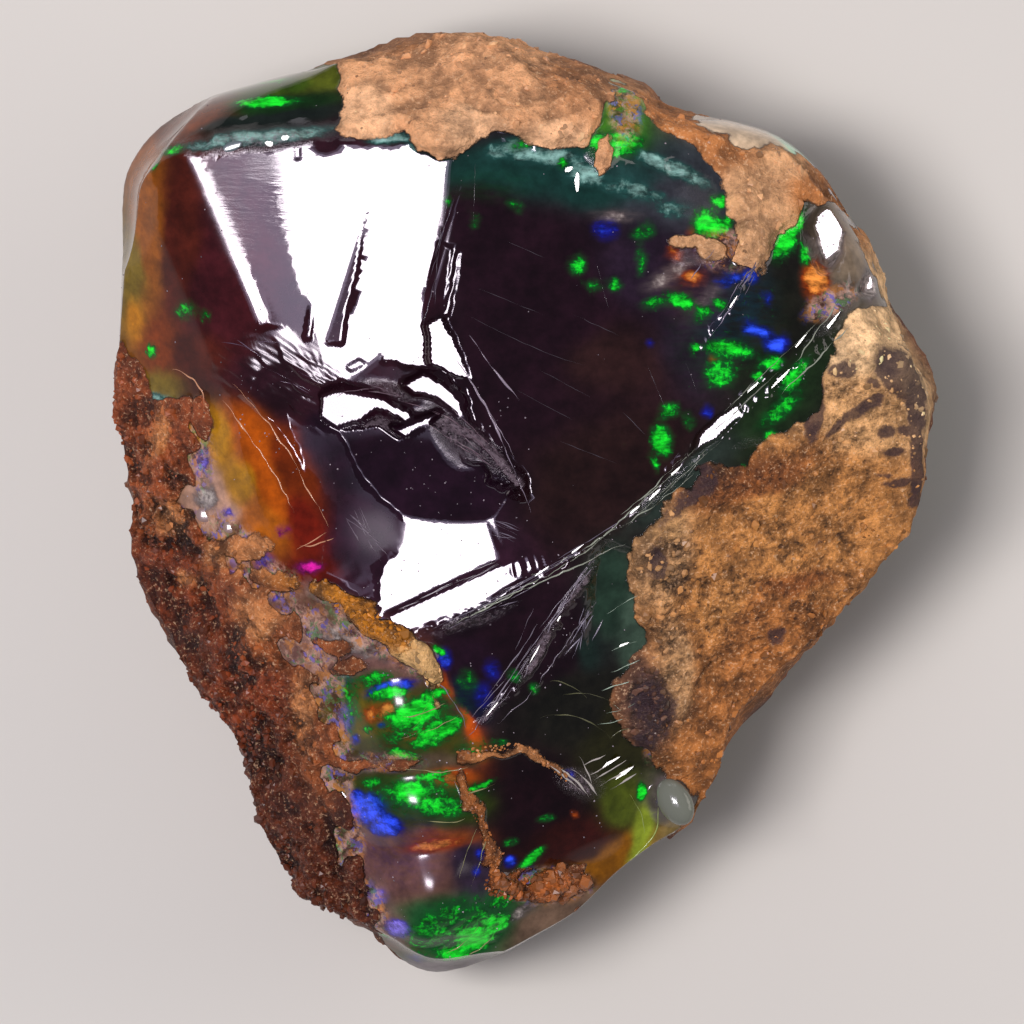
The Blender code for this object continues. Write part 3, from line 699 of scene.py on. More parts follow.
reliefForm = {
    "rockThickness": 0.42, "rockRim": 0.5,  # how far in from its edge the rock reaches its thickness
    "thinOnSides": (0.6, 0.95),
    "knobs": 0.13, "glazedKnobs": 0.22, "crust": 0.16, "crushed": 0.06,
    "gentleSide": 0.75,  # the share of a rib's width that rises slowly
    "uneven": (0.75, 1.1, 1.6), "unevenness": (0.1, 1.5),  # mean, spread and mm of its changes; limits
    "grit": 0.33, "gritMean": 0.5, "gritSpread": 1.4,
    "combEdge": (0.5, 1.15), "arcEdge": (0.5, 1.1), "lineEdge": (0.2, 1),  # where each fades out
    "combStir": 0.9, "arcWobble": 0.5,
}


def ribWave(distance, spacing, wobble):
    gentle = reliefForm["gentleSide"]
    phase = distance / spacing + wobble
    phase -= np.floor(phase)
    return np.where(phase < gentle, phase / gentle, (1.0 - phase) / (1.0 - gentle)) - 0.5


def chipPlaces():
    # places along the crest for small bites, drawn from the seeded generator
    places = []
    for line in crestChips["routes"]:
        route = np.array(line)
        reached = distanceAlong(route)
        for n in range(crestChips["count"]):
            along = rng.uniform(0.0, reached[-1])
            offset = rng.normal(0.0, crestChips["spread"])
            x, y = (np.interp(along, reached, route[:, i]) + offset[i] for i in (0, 1))
            places.append((x, y, rng.uniform(*crestChips["radius"])))
    return places


def relief(points, isTop, normals, fields):
    form, plan = reliefForm, points[:, :2]
    steep = np.hypot(normals[:, 0], normals[:, 1])
    rock = smoothStep(0.0, form["rockRim"], fields["rockEdge"])
    out = form["rockThickness"] * rock * (1.0 - smoothStep(*form["thinOnSides"], steep))
    out += fields["ropeHeight"]
    out += rock * lumps(points, rockLumps) + (1.0 - rock) * lumps(points, glassWaves)
    out += rock * fields["knob"] * (form["knobs"] + form["glazedKnobs"] * fields["rockGloss"])
    out += rock * fields["crust"] * form["crust"]
    glassTop = (1.0 - rock) * (1.0 - patchShare(plan)) * isTop
    wobble = sum(height * noiseAt(points, wavelength, shift)
                 for (wavelength, height), shift in zip(combWobble, noiseShift["combs"]))
    mean, spread, wavelength = form["uneven"]
    uneven = mean + spread * noiseAt(points, wavelength, noiseShift["uneven"])
    uneven = np.clip(uneven, *form["unevenness"])
    for height, spacing, degrees, spot in combs.values():
        turn = math.radians(degrees)
        across = plan[:, 1] * math.cos(turn) - plan[:, 0] * math.sin(turn)
        share = 1.0 - smoothStep(*form["combEdge"], spotDistance(plan, *spot))
        stirred = wobble + form["combStir"] * uneven
        out += glassTop * share * uneven * height * ribWave(across, spacing, stirred)
    for height, spacing, centre, spot in arcs.values():
        away = np.linalg.norm(plan - np.array(centre), axis=1)
        share = 1.0 - smoothStep(*form["arcEdge"], spotDistance(plan, *spot))
        stirred = form["arcWobble"] * wobble
        out += glassTop * share * uneven * height * ribWave(away, spacing, stirred)
    grit = noiseAt(points, form["grit"], noiseShift["grit"])
    for halfWidth, height, route in roughLines.values():
        share = 1.0 - smoothStep(*form["lineEdge"], routeDistance(plan, route) / halfWidth)
        out += glassTop * share * height * (form["gritMean"] + form["gritSpread"] * grit)
    for x, y, radius in chipPlaces():
        away = np.hypot(plan[:, 0] - x, plan[:, 1] - y) / radius
        out -= glassTop * crestChips["depth"] * radius * np.clip(1.0 - away ** 2, 0.0, 1.0)
    out += glassTop * fields["crushed"] * form["crushed"] * grit
    return out * smoothStep(0.0, stoneForm["restBand"], points[:, 2])


glassTints = {  # the body colour of the opal: x, y, half length, half width and any degrees
    "#1a0912": ((0.6, 8.4, 5, 5), (-2.5, 12, 1.5, 3.5), (0.5, -6.5, 3, 2.4)),
    "#20100f": ((3.5, 1.6, 3.6, 2.4, 30),),
    "#281514": ((3.5, 6.9, 3.6, 2),),
    "#1b0a17": ((-5, 1.2, 4, 1.8, -10), (-9.4, 3.6, 1.6, 1.6), (-2.3, -7.6, 1.5, 1.2)),
    "#10302b": ((-0.4, 15.8, 4.5, 0.9), (3, 15, 2, 0.9)),
    "#1b3836": ((4.6, 15.4, 2.4, 1),),
    "#2e2f36": ((6.8, 14.6, 2.2, 1.6),),
    "#221624": ((5.6, 11, 2.6, 2.2), (7.6, 8, 1.8, 2.4)),
    "#16150f": ((11, 8.2, 2, 2.6), (2.2, -9.4, 2.4, 1.6)),
    "#192c14": ((11.9, 5.2, 2.2, 0.9, 50),),
    "#26302a": ((7.2, 0.9, 2.6, 0.5, 40),),
    "#280f18": ((-7.6, 11.7, 3.4, 5), (-11.4, 5.5, 3, 1.8, -20)),
    "#3a1116": ((-14.3, 9.8, 2, 3.6),),
    "#48190f": ((-16.4, 12.4, 0.9, 3.6), (-15.6, 7.2, 1.8, 1.2)),
    "#8a4c12": ((-18.2, 13.4, 0.75, 3.8),),
    "#75601c": ((-18.9, 11.2, 0.7, 2.2), (-17.5, 5.7, 0.8, 0.8)),
    "#c07a14": ((-18.8, 9, 0.35, 0.9),),
    "#70300d": ((-17.4, 7.6, 1, 1.2),),
    "#3a9a98": ((-17.6, 4.9, 0.5, 0.35),),
    "#a8740f": ((-14.9, 3, 0.9, 1.2), (-13.5, 1.1, 0.9, 0.9)),
    "#a04806": ((-12.9, 3, 1.1, 1.8, 20), (-12.3, 0.8, 0.7, 2, 25)),
    "#6a2604": ((-11.3, 1.9, 0.9, 2.4, 25),),
    "#9c520c": ((-12.6, -1.1, 1.2, 1.2),),
    "#601406": ((-10.6, -1, 0.9, 1.6, 20), (-10.4, -3.2, 1.2, 0.6)),
    "#b48a74": ((-15.2, 0.6, 0.6, 1.3, 15), (-14.4, -0.4, 0.6, 0.5)),
    "#7c5a34": ((-14, -1.6, 0.9, 0.5),),
    "#745040": ((-9.7, -4.9, 1.6, 0.6, -15),),
    "#6c4c46": ((-9, -6.4, 2.4, 0.8, -20), (-10.8, -6.2, 1, 1.2)),
    "#28121f": ((-4.2, -2.7, 3.6, 1.6, 15), (-8, -1.6, 1.4, 2.2)),
    "#0c0e24": ((-3, -9.2, 0.9, 1.2),),
    "#21200c": ((4.2, -10.6, 1.4, 1.8),),
    "#22362a": ((3.8, -4.4, 0.9, 1.8),),
    "#3e5244": ((4.9, -6.2, 0.5, 1.6),),
    "#16241f": ((2.9, -7, 0.8, 1.2),),
    "#5a4c10": ((-7.3, -10, 1.4, 1),),
    "#3f3a0c": ((-4.6, -10.6, 1.2, 1), (-6.4, -11.4, 1.6, 0.5)),
    "#a8440a": ((-4, -8.6, 1, 0.28, -58), (-2.9, -10.4, 1.2, 0.28, -58), (-3.5, -12.8, 0.9, 0.3)),
    "#4a3c2e": ((-6.4, -12.1, 2.4, 0.4),),
    "#2c380b": ((-3.6, -14.3, 2, 0.7), (-6.4, -13.6, 1.2, 0.6)),
    "#62423a": ((-6.2, -17.3, 2.2, 1), (-6.6, -20.4, 1.8, 0.6, -30)),
    "#7c3c14": ((-4.2, -16.1, 1.8, 0.35, 10),),
    "#2e2234": ((-2.7, -17.2, 0.7, 1.2),),
    "#184a26": ((-3.8, -20.4, 2.4, 1.1, 10),),
    "#7a7074": ((-4.2, -22.2, 2.4, 0.35),),
    "#16060b": ((0, -14.2, 1.8, 1.8),),
    "#300d08": ((2, -16, 1.8, 0.9),),
    "#7c4c08": ((3.6, -17, 1.8, 0.5, 30),),
    "#7f8f26": ((5.4, -15.6, 0.35, 1.3, -10),),
    "#4a5514": ((4.5, -14.2, 0.6, 0.9),),
    "#6a5444": ((0.9, -19.8, 1.6, 0.5, 30),),
    "#4a443e": ((6.7, -14, 1, 0.9),),
    "#7c683a": ((7.3, -15.3, 0.9, 0.4, 30),),
    "#7c6c5a": ((15.4, 11.8, 0.9, 1.4),),
    "#484842": ((15.1, 10.1, 1.2, 0.5, 30),),
    "#ceb496": ((10.2, 17.7, 1.9, 0.6, -15),),
    "#8fd0a6": ((12.9, 17, 1.3, 0.4, -35),),
    "#ad9fa9": ((14.4, 15.7, 1.1, 0.4, -45),),
    "#94aa92": ((15.9, 13.7, 1.4, 0.35, -60),),
    "#3f7a1e": ((4.4, 18, 0.9, 1.3),),
    "#96a632": ((4.6, 20, 0.7, 0.6), (6.2, 20, 0.8, 0.3, -20)),
    "#663014": ((-15.9, 18.4, 2.4, 0.6, 25),),
    "#2f460a": ((-12.4, 19.7, 2.4, 0.35, 10),),
    "#0e2e0c": ((-11.8, 18.9, 2.2, 0.35, 5),),
    "#161e1a": ((-12.6, 18.2, 3.4, 0.3, 8),),
    "#565f16": ((-9.9, 20.4, 0.9, 0.6, 20),),
    "#93b49e": ((17.7, -1.3, 0.7, 0.7),),
    "#6f3a18": ((-17, -18, 2, 2),),
}
rockTints = {
    "#d69c6e": ((-2.5, 20, 5.5, 2.4),),
    "#ecb688": ((-2.4, 17.6, 1.6, 1, -20), (-7.6, 18.6, 1, 0.9), (1, 17.4, 1.2, 0.7)),
    "#ab744a": ((2, 20.2, 2, 1.6), (-5.6, 21.6, 2, 0.6)),
    "#b57440": ((8, 17.6, 2.6, 1, -30), (13.4, 14.9, 1.4, 0.8, -30)),
    "#d29e70": ((10.4, 13.4, 1.2, 2.4), (12, 15.8, 1, 0.7)),
    "#ecc290": ((15.8, 7.6, 1.6, 1.4), (18.4, 6.2, 0.9, 2.2)),
    "#cf9c66": ((16, 4.6, 2.4, 1.6),),
    "#bb7e42": ((13, -1, 4, 3, 40), (9, -4, 2, 3)),
    "#ad6c34": ((11, -6, 3, 3, 40), (8.2, -11, 1.6, 2.6, -15)),
    "#8a5024": ((11, 1.4, 3, 0.8, 20), (12.5, -3.6, 2.4, 0.7, 10)),
    "#b88a5c": ((6.6, -2.6, 1.2, 1.8), (6.9, -8, 0.7, 2.4)),
    "#5a3c30": ((5.7, -9.3, 0.8, 1.7, 8),),
    "#c2925e": ((6.3, -1, 0.9, 0.7, 30),),
    "#b47018": ((-7.8, -5.2, 2.2, 0.6, -30), (-9.6, -4.1, 0.8, 0.6)),
    "#cba068": ((-4.9, -7.5, 1.3, 0.9, -45),),
    "#b87844": ((0.4, -11.9, 2.6, 0.5, -20),),
    "#965828": ((-2.2, -15.4, 0.5, 2.4, 15),),
    "#9a5424": ((0.4, -18.2, 2.4, 0.8),),
    "#8e4622": ((-18.6, 4.6, 1, 2.4), (-16.8, 2, 1.2, 2.4)),
    "#783416": ((-16.8, -3, 1.6, 3), (-13.6, -9, 2.4, 2.6)),
    "#985228": ((-12, -6.6, 1.6, 1.2), (-9.6, -9.8, 1.2, 2.2)),
    "#582610": ((-15.8, -7.4, 1.4, 2.4, 40), (-12.4, -13.6, 1.6, 3.2), (-10, -17.4, 2.2, 1.6)),
    "#c07c48": ((-16.9, -0.8, 0.9, 1.4), (-16.4, -3.6, 0.9, 0.6), (-10.3, -9.8, 0.7, 1.6),
                (-13.6, -2.2, 1.4, 0.6), (-12.4, -5.6, 1, 0.8), (-17.4, 3, 0.6, 1.2)),
}
sideRockTint = "#6c3c20"

markings = {  # what lies where: x, y, half length, half width, strength and any degrees
    "greenFlash": (
        (-12.5, 19.05, 1.7, 0.32, 1, 2), (-12.2, 20.1, 1, 0.14, 0.8, 8),
        (-16.8, 16.75, 0.75, 0.26, 0.8, 18), (-17.7, 16, 0.35, 0.2, 0.7, 60),
        (-16.2, 9.2, 0.6, 0.5, 0.62), (-15.3, 8.9, 0.35, 0.35, 0.6), (-18, 7.4, 0.3, 0.32, 1),
        (-0.3, 17, 0.9, 0.4, 0.6, 10), (1.55, 16.05, 0.32, 0.32, 0.9), (4.2, 17, 1.5, 0.7, 0.95, 10),
        (3.4, 17.1, 0.6, 0.6, 1, 50), (4.4, 19.7, 0.45, 0.5, 0.9), (-3.8, 14.3, 0.25, 0.4, 0.65),
        (-2.6, 13.4, 0.22, 0.5, 0.7, -10), (-0.6, 14.1, 0.4, 0.35, 0.6), (2.4, 11.2, 0.5, 0.55, 0.75),
        (4.1, 10.3, 0.4, 0.4, 0.65), (3.1, 10.3, 0.4, 0.35, 0.55), (5.3, 11.5, 0.26, 0.9, 0.65),
        (5.5, 12.8, 0.7, 0.4, 0.7, 20), (5.8, 9.5, 0.7, 0.3, 0.75, 20), (7.1, 9.65, 0.9, 0.4, 0.95, -15),
        (8.5, 13.2, 0.8, 0.9, 1), (9.1, 14.4, 0.5, 0.4, 0.85), (9.4, 13.2, 0.3, 0.6, 0.9, -20),
        (8.2, 9, 0.6, 0.45, 0.75, 30), (9, 9.4, 0.4, 0.35, 0.85), (9.5, 7.3, 1.5, 0.42, 0.85, -5),
        (9.1, 6.2, 0.9, 0.8, 0.8), (11.6, 6.7, 0.6, 0.45, 0.9), (11, 6.1, 0.3, 0.35, 0.85),
        (7.8, 7.4, 0.4, 0.25, 0.8), (6.3, 3, 0.55, 0.85, 0.95, 20), (6.6, 4.4, 0.6, 0.35, 0.85, 10),
        (6.1, 1.9, 0.2, 0.35, 0.8), (5.9, 2.4, 0.2, 0.2, 0.7), (4.4, 2.9, 0.12, 0.15, 0.8),
        (12.4, 12.9, 1.6, 0.5, 1, 62), (13.1, 11.8, 0.4, 0.6, 0.8), (12.6, 6, 1.2, 0.4, 0.85, 52),
        (11.9, 4.5, 1.5, 0.5, 0.75, 38), (11.5, 3.2, 0.45, 0.35, 0.95), (12.5, 2.9, 0.4, 0.6, 0.85, -30),
        (10.2, 1.7, 0.25, 0.2, 0.7), (7.6, 3.9, 0.35, 0.5, 0.6), (9.4, 8.6, 3.2, 4.2, 0.24, -15),
        (-2, 15, 3, 1, 0.22), (-5.4, -10.2, 2.6, 1.5, 0.58, 20), (-4.9, -13.7, 3, 1.2, 0.56, 5),
        (-3.4, -20.2, 3, 1.7, 0.6, 20), (-8.4, -9.6, 0.6, 1.6, 0.55), (-8.9, -14.8, 0.7, 1.8, 0.5),
        (-2.6, -11.6, 1.2, 0.7, 0.5), (-5.4, -9.9, 1.5, 0.75, 1, 18), (-4.4, -10.8, 1.6, 0.7, 0.85, 30),
        (-6.6, -9, 1.2, 0.4, 0.8, 10), (-7.4, -8.3, 1.4, 0.5, 0.6, 15), (-8.7, -8.9, 0.6, 0.9, 0.62),
        (-4.5, -9, 0.8, 0.25, 0.9, 10), (-6, -11.9, 0.9, 0.35, 0.9, -10), (-7.6, -10.6, 0.3, 0.3, 0.8),
        (-5.6, -13.6, 1.1, 0.7, 0.95, -10), (-4.1, -14.3, 1.6, 0.75, 0.72),
        (-4.8, -12.9, 1.2, 0.3, 0.8, 15), (-2.3, -13.4, 0.9, 0.14, 1, 28), (-7.4, -13.2, 0.6, 0.3, 0.7),
        (-2.6, -20.7, 1.2, 0.8, 1, 15), (-3.5, -21.5, 0.9, 0.5, 1, 10), (-1.6, -20, 1.1, 0.6, 0.85, 30),
        (-4.6, -20.2, 1.8, 1, 0.62, 30), (-1.3, -18.9, 0.9, 0.5, 0.6, 30),
        (-7, -20.8, 0.6, 0.3, 0.62, -30), (0.2, -16.9, 0.85, 0.28, 1, 38), (0.8, -15, 0.5, 0.2, 0.7, 10),
        (-0.8, -16, 0.45, 0.25, 0.62, 10), (0.4, -17.6, 0.7, 0.2, 0.7), (-9.5, -12.1, 0.45, 0.42, 0.95),
        (-10, -13.3, 0.15, 0.2, 0.9), (-9.1, -16.3, 0.5, 0.28, 0.9, -30), (-9.9, -15, 0.3, 0.5, 0.6),
        (5.4, -13.7, 0.28, 0.42, 1), (-0.7, -8.1, 0.35, 0.4, 0.65, 30), (0.2, -8.7, 0.3, 0.3, 0.65),
        (-4.3, -6.9, 0.45, 0.25, 0.8, -20), (-2.9, -8.4, 0.5, 0.7, 0.5), (-1.4, -11.2, 0.5, 0.2, 0.6),
    ),
    "blueFlash": (
        (9.6, 9.6, 2.6, 3.2, 0.22), (-6, -16, 3, 3, 0.24), (10.9, 8.2, 0.9, 0.3, 1, -22),
        (11.8, 7.6, 0.62, 0.42, 1, 10), (10.5, 10.7, 0.5, 0.55, 0.75), (9.5, 10.5, 0.9, 0.35, 0.7, 15),
        (11.3, 9.7, 0.3, 0.25, 0.65), (8.5, 4.4, 0.3, 0.35, 0.8), (3.7, 12.9, 0.7, 0.6, 0.6),
        (5.8, 7.6, 0.2, 0.2, 0.6), (-6.5, -8.7, 1.3, 0.4, 1, 15), (-6.9, -10.4, 0.3, 0.2, 0.7),
        (-8.2, -11.1, 0.3, 0.3, 0.7), (-7.6, -14.5, 1.1, 0.8, 1), (-6.8, -15.2, 1, 0.6, 1, -10),
        (-8.2, -14, 0.5, 0.5, 0.85), (-0.8, -17, 0.32, 0.32, 0.9, 30), (-4, -7.3, 0.5, 0.6, 0.7),
        (-2.2, -9, 0.5, 0.7, 0.6), (2, -12.9, 0.3, 0.28, 0.8), (6.5, -14, 0.3, 0.3, 0.85),
        (-2.5, -17.4, 0.25, 0.3, 0.75), (-2.3, -16.6, 0.3, 0.35, 0.6), (-1.7, -7.8, 0.5, 0.6, 0.55),
        (-11.9, -4.5, 0.35, 0.25, 0.7), (-15.7, -4.1, 0.45, 0.28, 0.7, 30), (-17.3, -4.6, 0.4, 0.4, 0.6),
    ),
    "violetFlash": (
        (-15.5, 2, 0.85, 0.36, 1, 72), (-14.3, -0.4, 0.45, 0.25, 0.7),
        (-16.7, -0.7, 0.65, 0.42, 0.85, 60), (-13.8, -3.3, 0.75, 0.22, 0.95, -5),
        (-12.5, -2.8, 0.6, 0.6, 0.65), (-8.6, -10.1, 0.45, 0.7, 0.85),
        (-6.2, -20.2, 0.75, 0.42, 0.95, -20), (-7.2, -18.6, 0.5, 0.45, 0.7),
        (-5.5, -21.8, 0.8, 0.35, 0.62), (-6.9, -8.9, 0.35, 0.2, 0.7, 10),
    ),
    "orangeFlash": (
        (-7.2, -9.9, 0.7, 0.5, 0.7), (-5.2, -10.9, 0.7, 0.35, 0.75, 20), (-3.9, -12.9, 1.3, 0.35, 0.7),
        (-4.3, -16.2, 1.7, 0.35, 0.7, 8), (-6.9, -12.4, 0.6, 0.3, 0.6), (7.9, 12.6, 0.5, 0.6, 0.6),
        (8, 10.6, 2.2, 2.6, 0.2), (13.6, 10.6, 0.75, 1.1, 1), (6.9, 11.8, 0.28, 0.5, 0.7),
        (7.7, 10.7, 0.6, 0.32, 0.9), (8.8, 6.8, 0.22, 0.18, 0.7), (-6.6, -9.7, 0.55, 0.35, 1),
        (-7.3, -19.3, 0.4, 0.3, 0.85), (2.2, -14.7, 0.3, 0.2, 0.6, -30), (-4.9, -10.2, 0.3, 0.2, 0.7),
    ),
    "magentaFlash": ((-10.4, -3, 0.75, 0.3, 0.9, 5), (-11.6, -1.3, 0.5, 0.35, 0.6)),
    "milk": (
        (6.6, 10.8, 1.6, 0.5, 0.55, 30), (8.4, 9.8, 1, 0.4, 0.55, 40), (4.2, 13.6, 1.4, 0.4, 0.5),
        (-8.9, -6.4, 2.6, 0.7, 0.7, -18), (14.4, 12.4, 0.8, 1.2, 0.8), (16.2, 10.4, 0.5, 1, 0.75),
        (-6.9, -12.2, 2, 0.4, 0.7), (-0.2, -19.4, 1, 0.4, 0.6, 30), (-15.3, 0.2, 0.6, 1, 0.7),
        (6.6, -13.2, 0.7, 0.4, 0.6),
    ),
    "teal": (
        (-12.8, 17.35, 4.4, 0.42, 0.9, 7), (-6.6, 17.3, 1.4, 0.35, 0.7), (-5.6, 16.4, 0.5, 0.9, 0.7),
        (-0.8, 16.9, 1.6, 0.5, 0.75, 20), (6.8, 15.9, 2.4, 0.4, 0.9, -25), (2.7, 15.6, 1.3, 0.7, 0.8),
        (0.6, 16.4, 2.4, 0.5, 0.8, -5), (4.8, 14.9, 1.8, 0.6, 0.7, -20), (7, 14, 1, 0.6, 0.6),
        (6, 14.5, 0.6, 0.4, 0.7), (-8.6, -8.3, 0.6, 0.6, 0.6), (-17.6, 4.9, 0.5, 0.4, 0.8),
        (-7.8, 19.6, 1, 0.2, 0.7),
    ),
    "black": (  # manganese stains on the rock
        (17.4, 6.2, 1.3, 0.8, 1.3, -60), (18.2, 4.8, 0.5, 1.4, 1.1), (18.2, 2.4, 0.36, 2.4, 1.1),
        (14.8, 6.4, 0.6, 0.4, 1, 10), (16.2, 5.9, 0.4, 0.25, 0.8), (15.9, 4.8, 1.1, 0.32, 1, 35),
        (13.5, 4.6, 0.4, 1.5, 1.3, -10), (14.6, 4, 1, 0.2, 0.85, 45), (16.7, 3.7, 0.5, 0.28, 0.9),
        (17.6, 3.7, 0.45, 0.25, 0.9), (17.1, 2.7, 0.7, 0.28, 0.95), (17.3, 1.3, 0.8, 0.22, 0.85, 10),
        (18.2, 0.4, 0.5, 0.4, 0.8), (5.8, -9.3, 1, 1.8, 0.75, 8), (5.4, -11.2, 0.6, 0.8, 0.7),
        (8.3, 1.3, 0.7, 0.8, 0.75, 30), (6, -2.8, 0.5, 0.9, 0.75), (7.4, 0.4, 1.6, 0.4, 0.7, 40),
        (11.6, -6.1, 0.5, 0.4, 0.75), (13.2, 4.6, 0.5, 0.4, 0.85), (16.6, 1.6, 0.5, 0.16, 0.7),
    ),
    "rockGloss": (  # rock with a glazed, knobbly skin
        (-17, -1, 2.6, 7, 1, 15), (-13.4, -10, 3.6, 6, 1, 20), (-10, -17.6, 3, 4, 1, 30),
        (-8, -5.4, 3.4, 1.2, 0.6, -35), (0, -17.6, 3, 1.4, 0.9), (6.4, -3.2, 1.2, 3.4, 0.55),
        (5.9, -9.7, 1, 2, 0.9), (8.6, 1.2, 1.6, 0.9, 0.5, 35),
    ),
    "layered": ((-2.5, 20, 6.5, 3.6, 1), (11, 14.4, 2.6, 2.6, 0.8), (16.5, 7, 2.2, 2.2, 0.8)),
    "pitted": ((11, -3, 5, 9, 1, -35), (15, 4, 3, 4, 0.9)),
    "soft": (  # glass brushed so finely that its reflection is blurred
        (-15, 13, 1.8, 4, 1), (-12.6, 16, 1.2, 0.8, 1), (-3.6, 11, 0.5, 4.4, 1, 8),
        (-0.8, -1.2, 0.9, 1, 1),
    ),
    "crushed": (  # bruised glass, pale and matt
        (-12.8, 17.3, 4.6, 0.5, 0.8, 6), (-6.6, 5.3, 1.2, 0.4, 0.7, -15), (-3.6, 3.6, 0.8, 1.6, 0.8, 30),
        (-1.7, 2.2, 0.5, 1.2, 0.7, 40), (8, 14.4, 1, 1.2, 0.4), (8.3, 11.8, 1.4, 0.5, 0.7, 15),
        (6.4, 0.6, 2, 0.22, 0.6, 42), (10.4, 2.8, 0.9, 0.3, 0.7, 10), (3.4, 16.8, 0.6, 0.9, 0.6),
        (2.4, -13.3, 1.2, 0.7, 0.8, -20), (-2.6, -5.6, 2.4, 0.35, 0.7, 22), (2, -6.6, 0.8, 0.3, 0.6, 50),
        (2.3, -4, 1.6, 0.24, 0.9, 58), (0.4, -7, 1.8, 0.26, 0.95, 62), (-1.9, -9.9, 1.2, 0.24, 0.9, 44),
        (-15.8, -2.4, 1.2, 0.8, 0.7), (-6.8, -12.3, 1.4, 0.4, 0.7), (14.6, 8.9, 1.4, 0.35, 0.7, 40),
    ),
    "satin": (  # glass torn into ribs too fine to see, with a broad sheen
        (-7.2, -1.3, 1.3, 1.3, 0.8), (-11.6, 6.2, 3.6, 1.8, 1, -28), (-9, 4.6, 1.6, 1.2, 0.9, -30),
        (-4.8, 5.4, 2.2, 1, 0.7, -35), (6.6, 0.8, 2.6, 0.25, 0.5, 42), (-5.6, -11.6, 3.6, 3.8, 0.8),
        (-4.6, -18.6, 4, 3.6, 0.8),
    ),
    "combed": (  # fine brushed lines across the lit face's left part
        (-13.4, 13, 2, 4.2, 0.9), (-8.6, 9.6, 1, 2, 0.5), (-3.6, 11, 0.9, 4.6, 0.8),
        (-1.6, 0, 1.2, 1.2, 0.7),
    ),
}

blending = {"core": 0.06, "power": 3, "spotEdge": (0.3, 1.5)}  # how tints and patches meet


def blendTints(plan, tints):
    # each tint rules near its own spots, and they shade into each other between them
    total = np.zeros((len(plan), 3))
    weights = np.zeros(len(plan))
    for colour, spots in tints.items():
        for spot in spots:
            weight = (blending["core"] + spotDistance(plan, *spot) ** 2) ** -blending["power"]
            total += weight[:, None] * np.array(toLinear(colour))
            weights += weight
    return total / weights[:, None]


def spotField(plan, spots):
    strongest = np.zeros(len(plan))
    for x, y, halfLength, halfWidth, strength, *degrees in spots:
        away = spotDistance(plan, x, y, halfLength, halfWidth, *degrees)
        strongest = np.maximum(strongest, strength * (1.0 - smoothStep(*blending["spotEdge"], away)))
    return strongest


fieldForm = {
    "glassFade": (8.5, 12.5), "otherFade": (7, 11),  # each patch fades in between these heights
    "mixedFade": (11, 14), "sideFade": (9, 13), "skinFade": (9.5, 15),
    "sideWander": (3.5, 1.6), "veinWander": (1.3, 0.9),  # wavelength and how much
    "tintWander": 0.6, "spotWander": 0.35,  # how far the colours follow the wander
    "farOut": -9, "deepest": 3, "edgeLimit": 2,  # limits of the distance from the rock's edge
    "wallReach": (0.1, 1), "ledgeMargin": 0.3, "wallAbove": 0.8,  # the crushed wall over the scoop
}


def stoneFields(points, isTop):
    # the edges wander, so that no patch shows a drawn shape
    form, plan, height = fieldForm, points[:, :2], points[:, 2]
    wander = np.stack([lumps(points, colourWander, s) for s in noiseShift["colours"]], 1)
    loose = plan + wander
    rock = np.full(len(points), form["farOut"])
    for edge in rockEdges.values():
        rock = np.maximum(rock, depthInside(loose, edge))
    bearing = np.degrees(np.arctan2(plan[:, 1], plan[:, 0]))
    limits = np.array(sideRockTop, float)
    wavelength, share = form["sideWander"]
    sideTop = np.interp(bearing, limits[:, 0], limits[:, 1])
    sideTop += share * noiseAt(points, wavelength, noiseShift["sideTop"])
    rock = np.maximum(rock, np.minimum(sideTop - height, form["deepest"]))
    mixed = spotField(plan, mixedZones) * smoothStep(*form["mixedFade"], height)
    rock += mixed * lumps(points, rockCrumbs, noiseShift["crumbs"])
    for spot in rockIslands:
        island = (1.0 - spotDistance(loose, *spot)) * spot[3]
        rock = np.maximum(rock, np.where(isTop, island, form["farOut"]))
    ropeHeight = np.zeros(len(points))
    wavelength, share = form["veinWander"]
    veinNoise = 1.0 + share * noiseAt(points, wavelength, noiseShift["veins"])
    for rise, halfWidth, route in ropes.values():
        away = routeDistance(loose, route) * veinNoise
        rock = np.maximum(rock, np.where(isTop, halfWidth - away, form["farOut"]))
        share = np.clip(1.0 - (away / halfWidth) ** 2, 0.0, 1.0)
        ropeHeight = np.maximum(ropeHeight, rise * np.sqrt(share) * isTop)
    sideShare = (1.0 - smoothStep(*form["sideFade"], height))[:, None]
    side = np.array(toLinear(sideRockTint))
    layer = lumps(points, rockLayers, noiseShift["layers"])
    fields = {
        "rockEdge": np.clip(rock, -form["edgeLimit"], form["edgeLimit"]),
        "knob": np.clip(lumps(points, rockKnobs, noiseShift["knobs"]), -1.0, 1.0),
        "mixed": mixed,
        "crust": (layer - np.floor(layer)) * spotField(plan, markings["layered"]),
        "ropeHeight": ropeHeight,
        "glassTint": blendTints(plan + form["tintWander"] * wander, glassTints),
        "rockTint": blendTints(loose, rockTints) * (1.0 - sideShare) + side * sideShare,
        "skin": 1.0 - smoothStep(*form["skinFade"], height),
    }
    for name, spots in markings.items():
        fade = form["glassFade"] if name in flashColours else form["otherFade"]
        fields[name] = spotField(plan + form["spotWander"] * wander, spots) * smoothStep(*fade, height)
    outsideScoop = -depthInside(plan, cuts["black scoop"][-1])
    onLedge = depthInside(plan, cuts["ledge"][-1]) + form["ledgeMargin"] > 0.0
    wall = (1.0 - smoothStep(*form["wallReach"], outsideScoop)) * (outsideScoop > 0.0) * onLedge
    wall *= plan[:, 1] > form["wallAbove"]
    fields["crushed"] = np.maximum(fields["crushed"], wall) * (1.0 - patchShare(plan))
    return fields


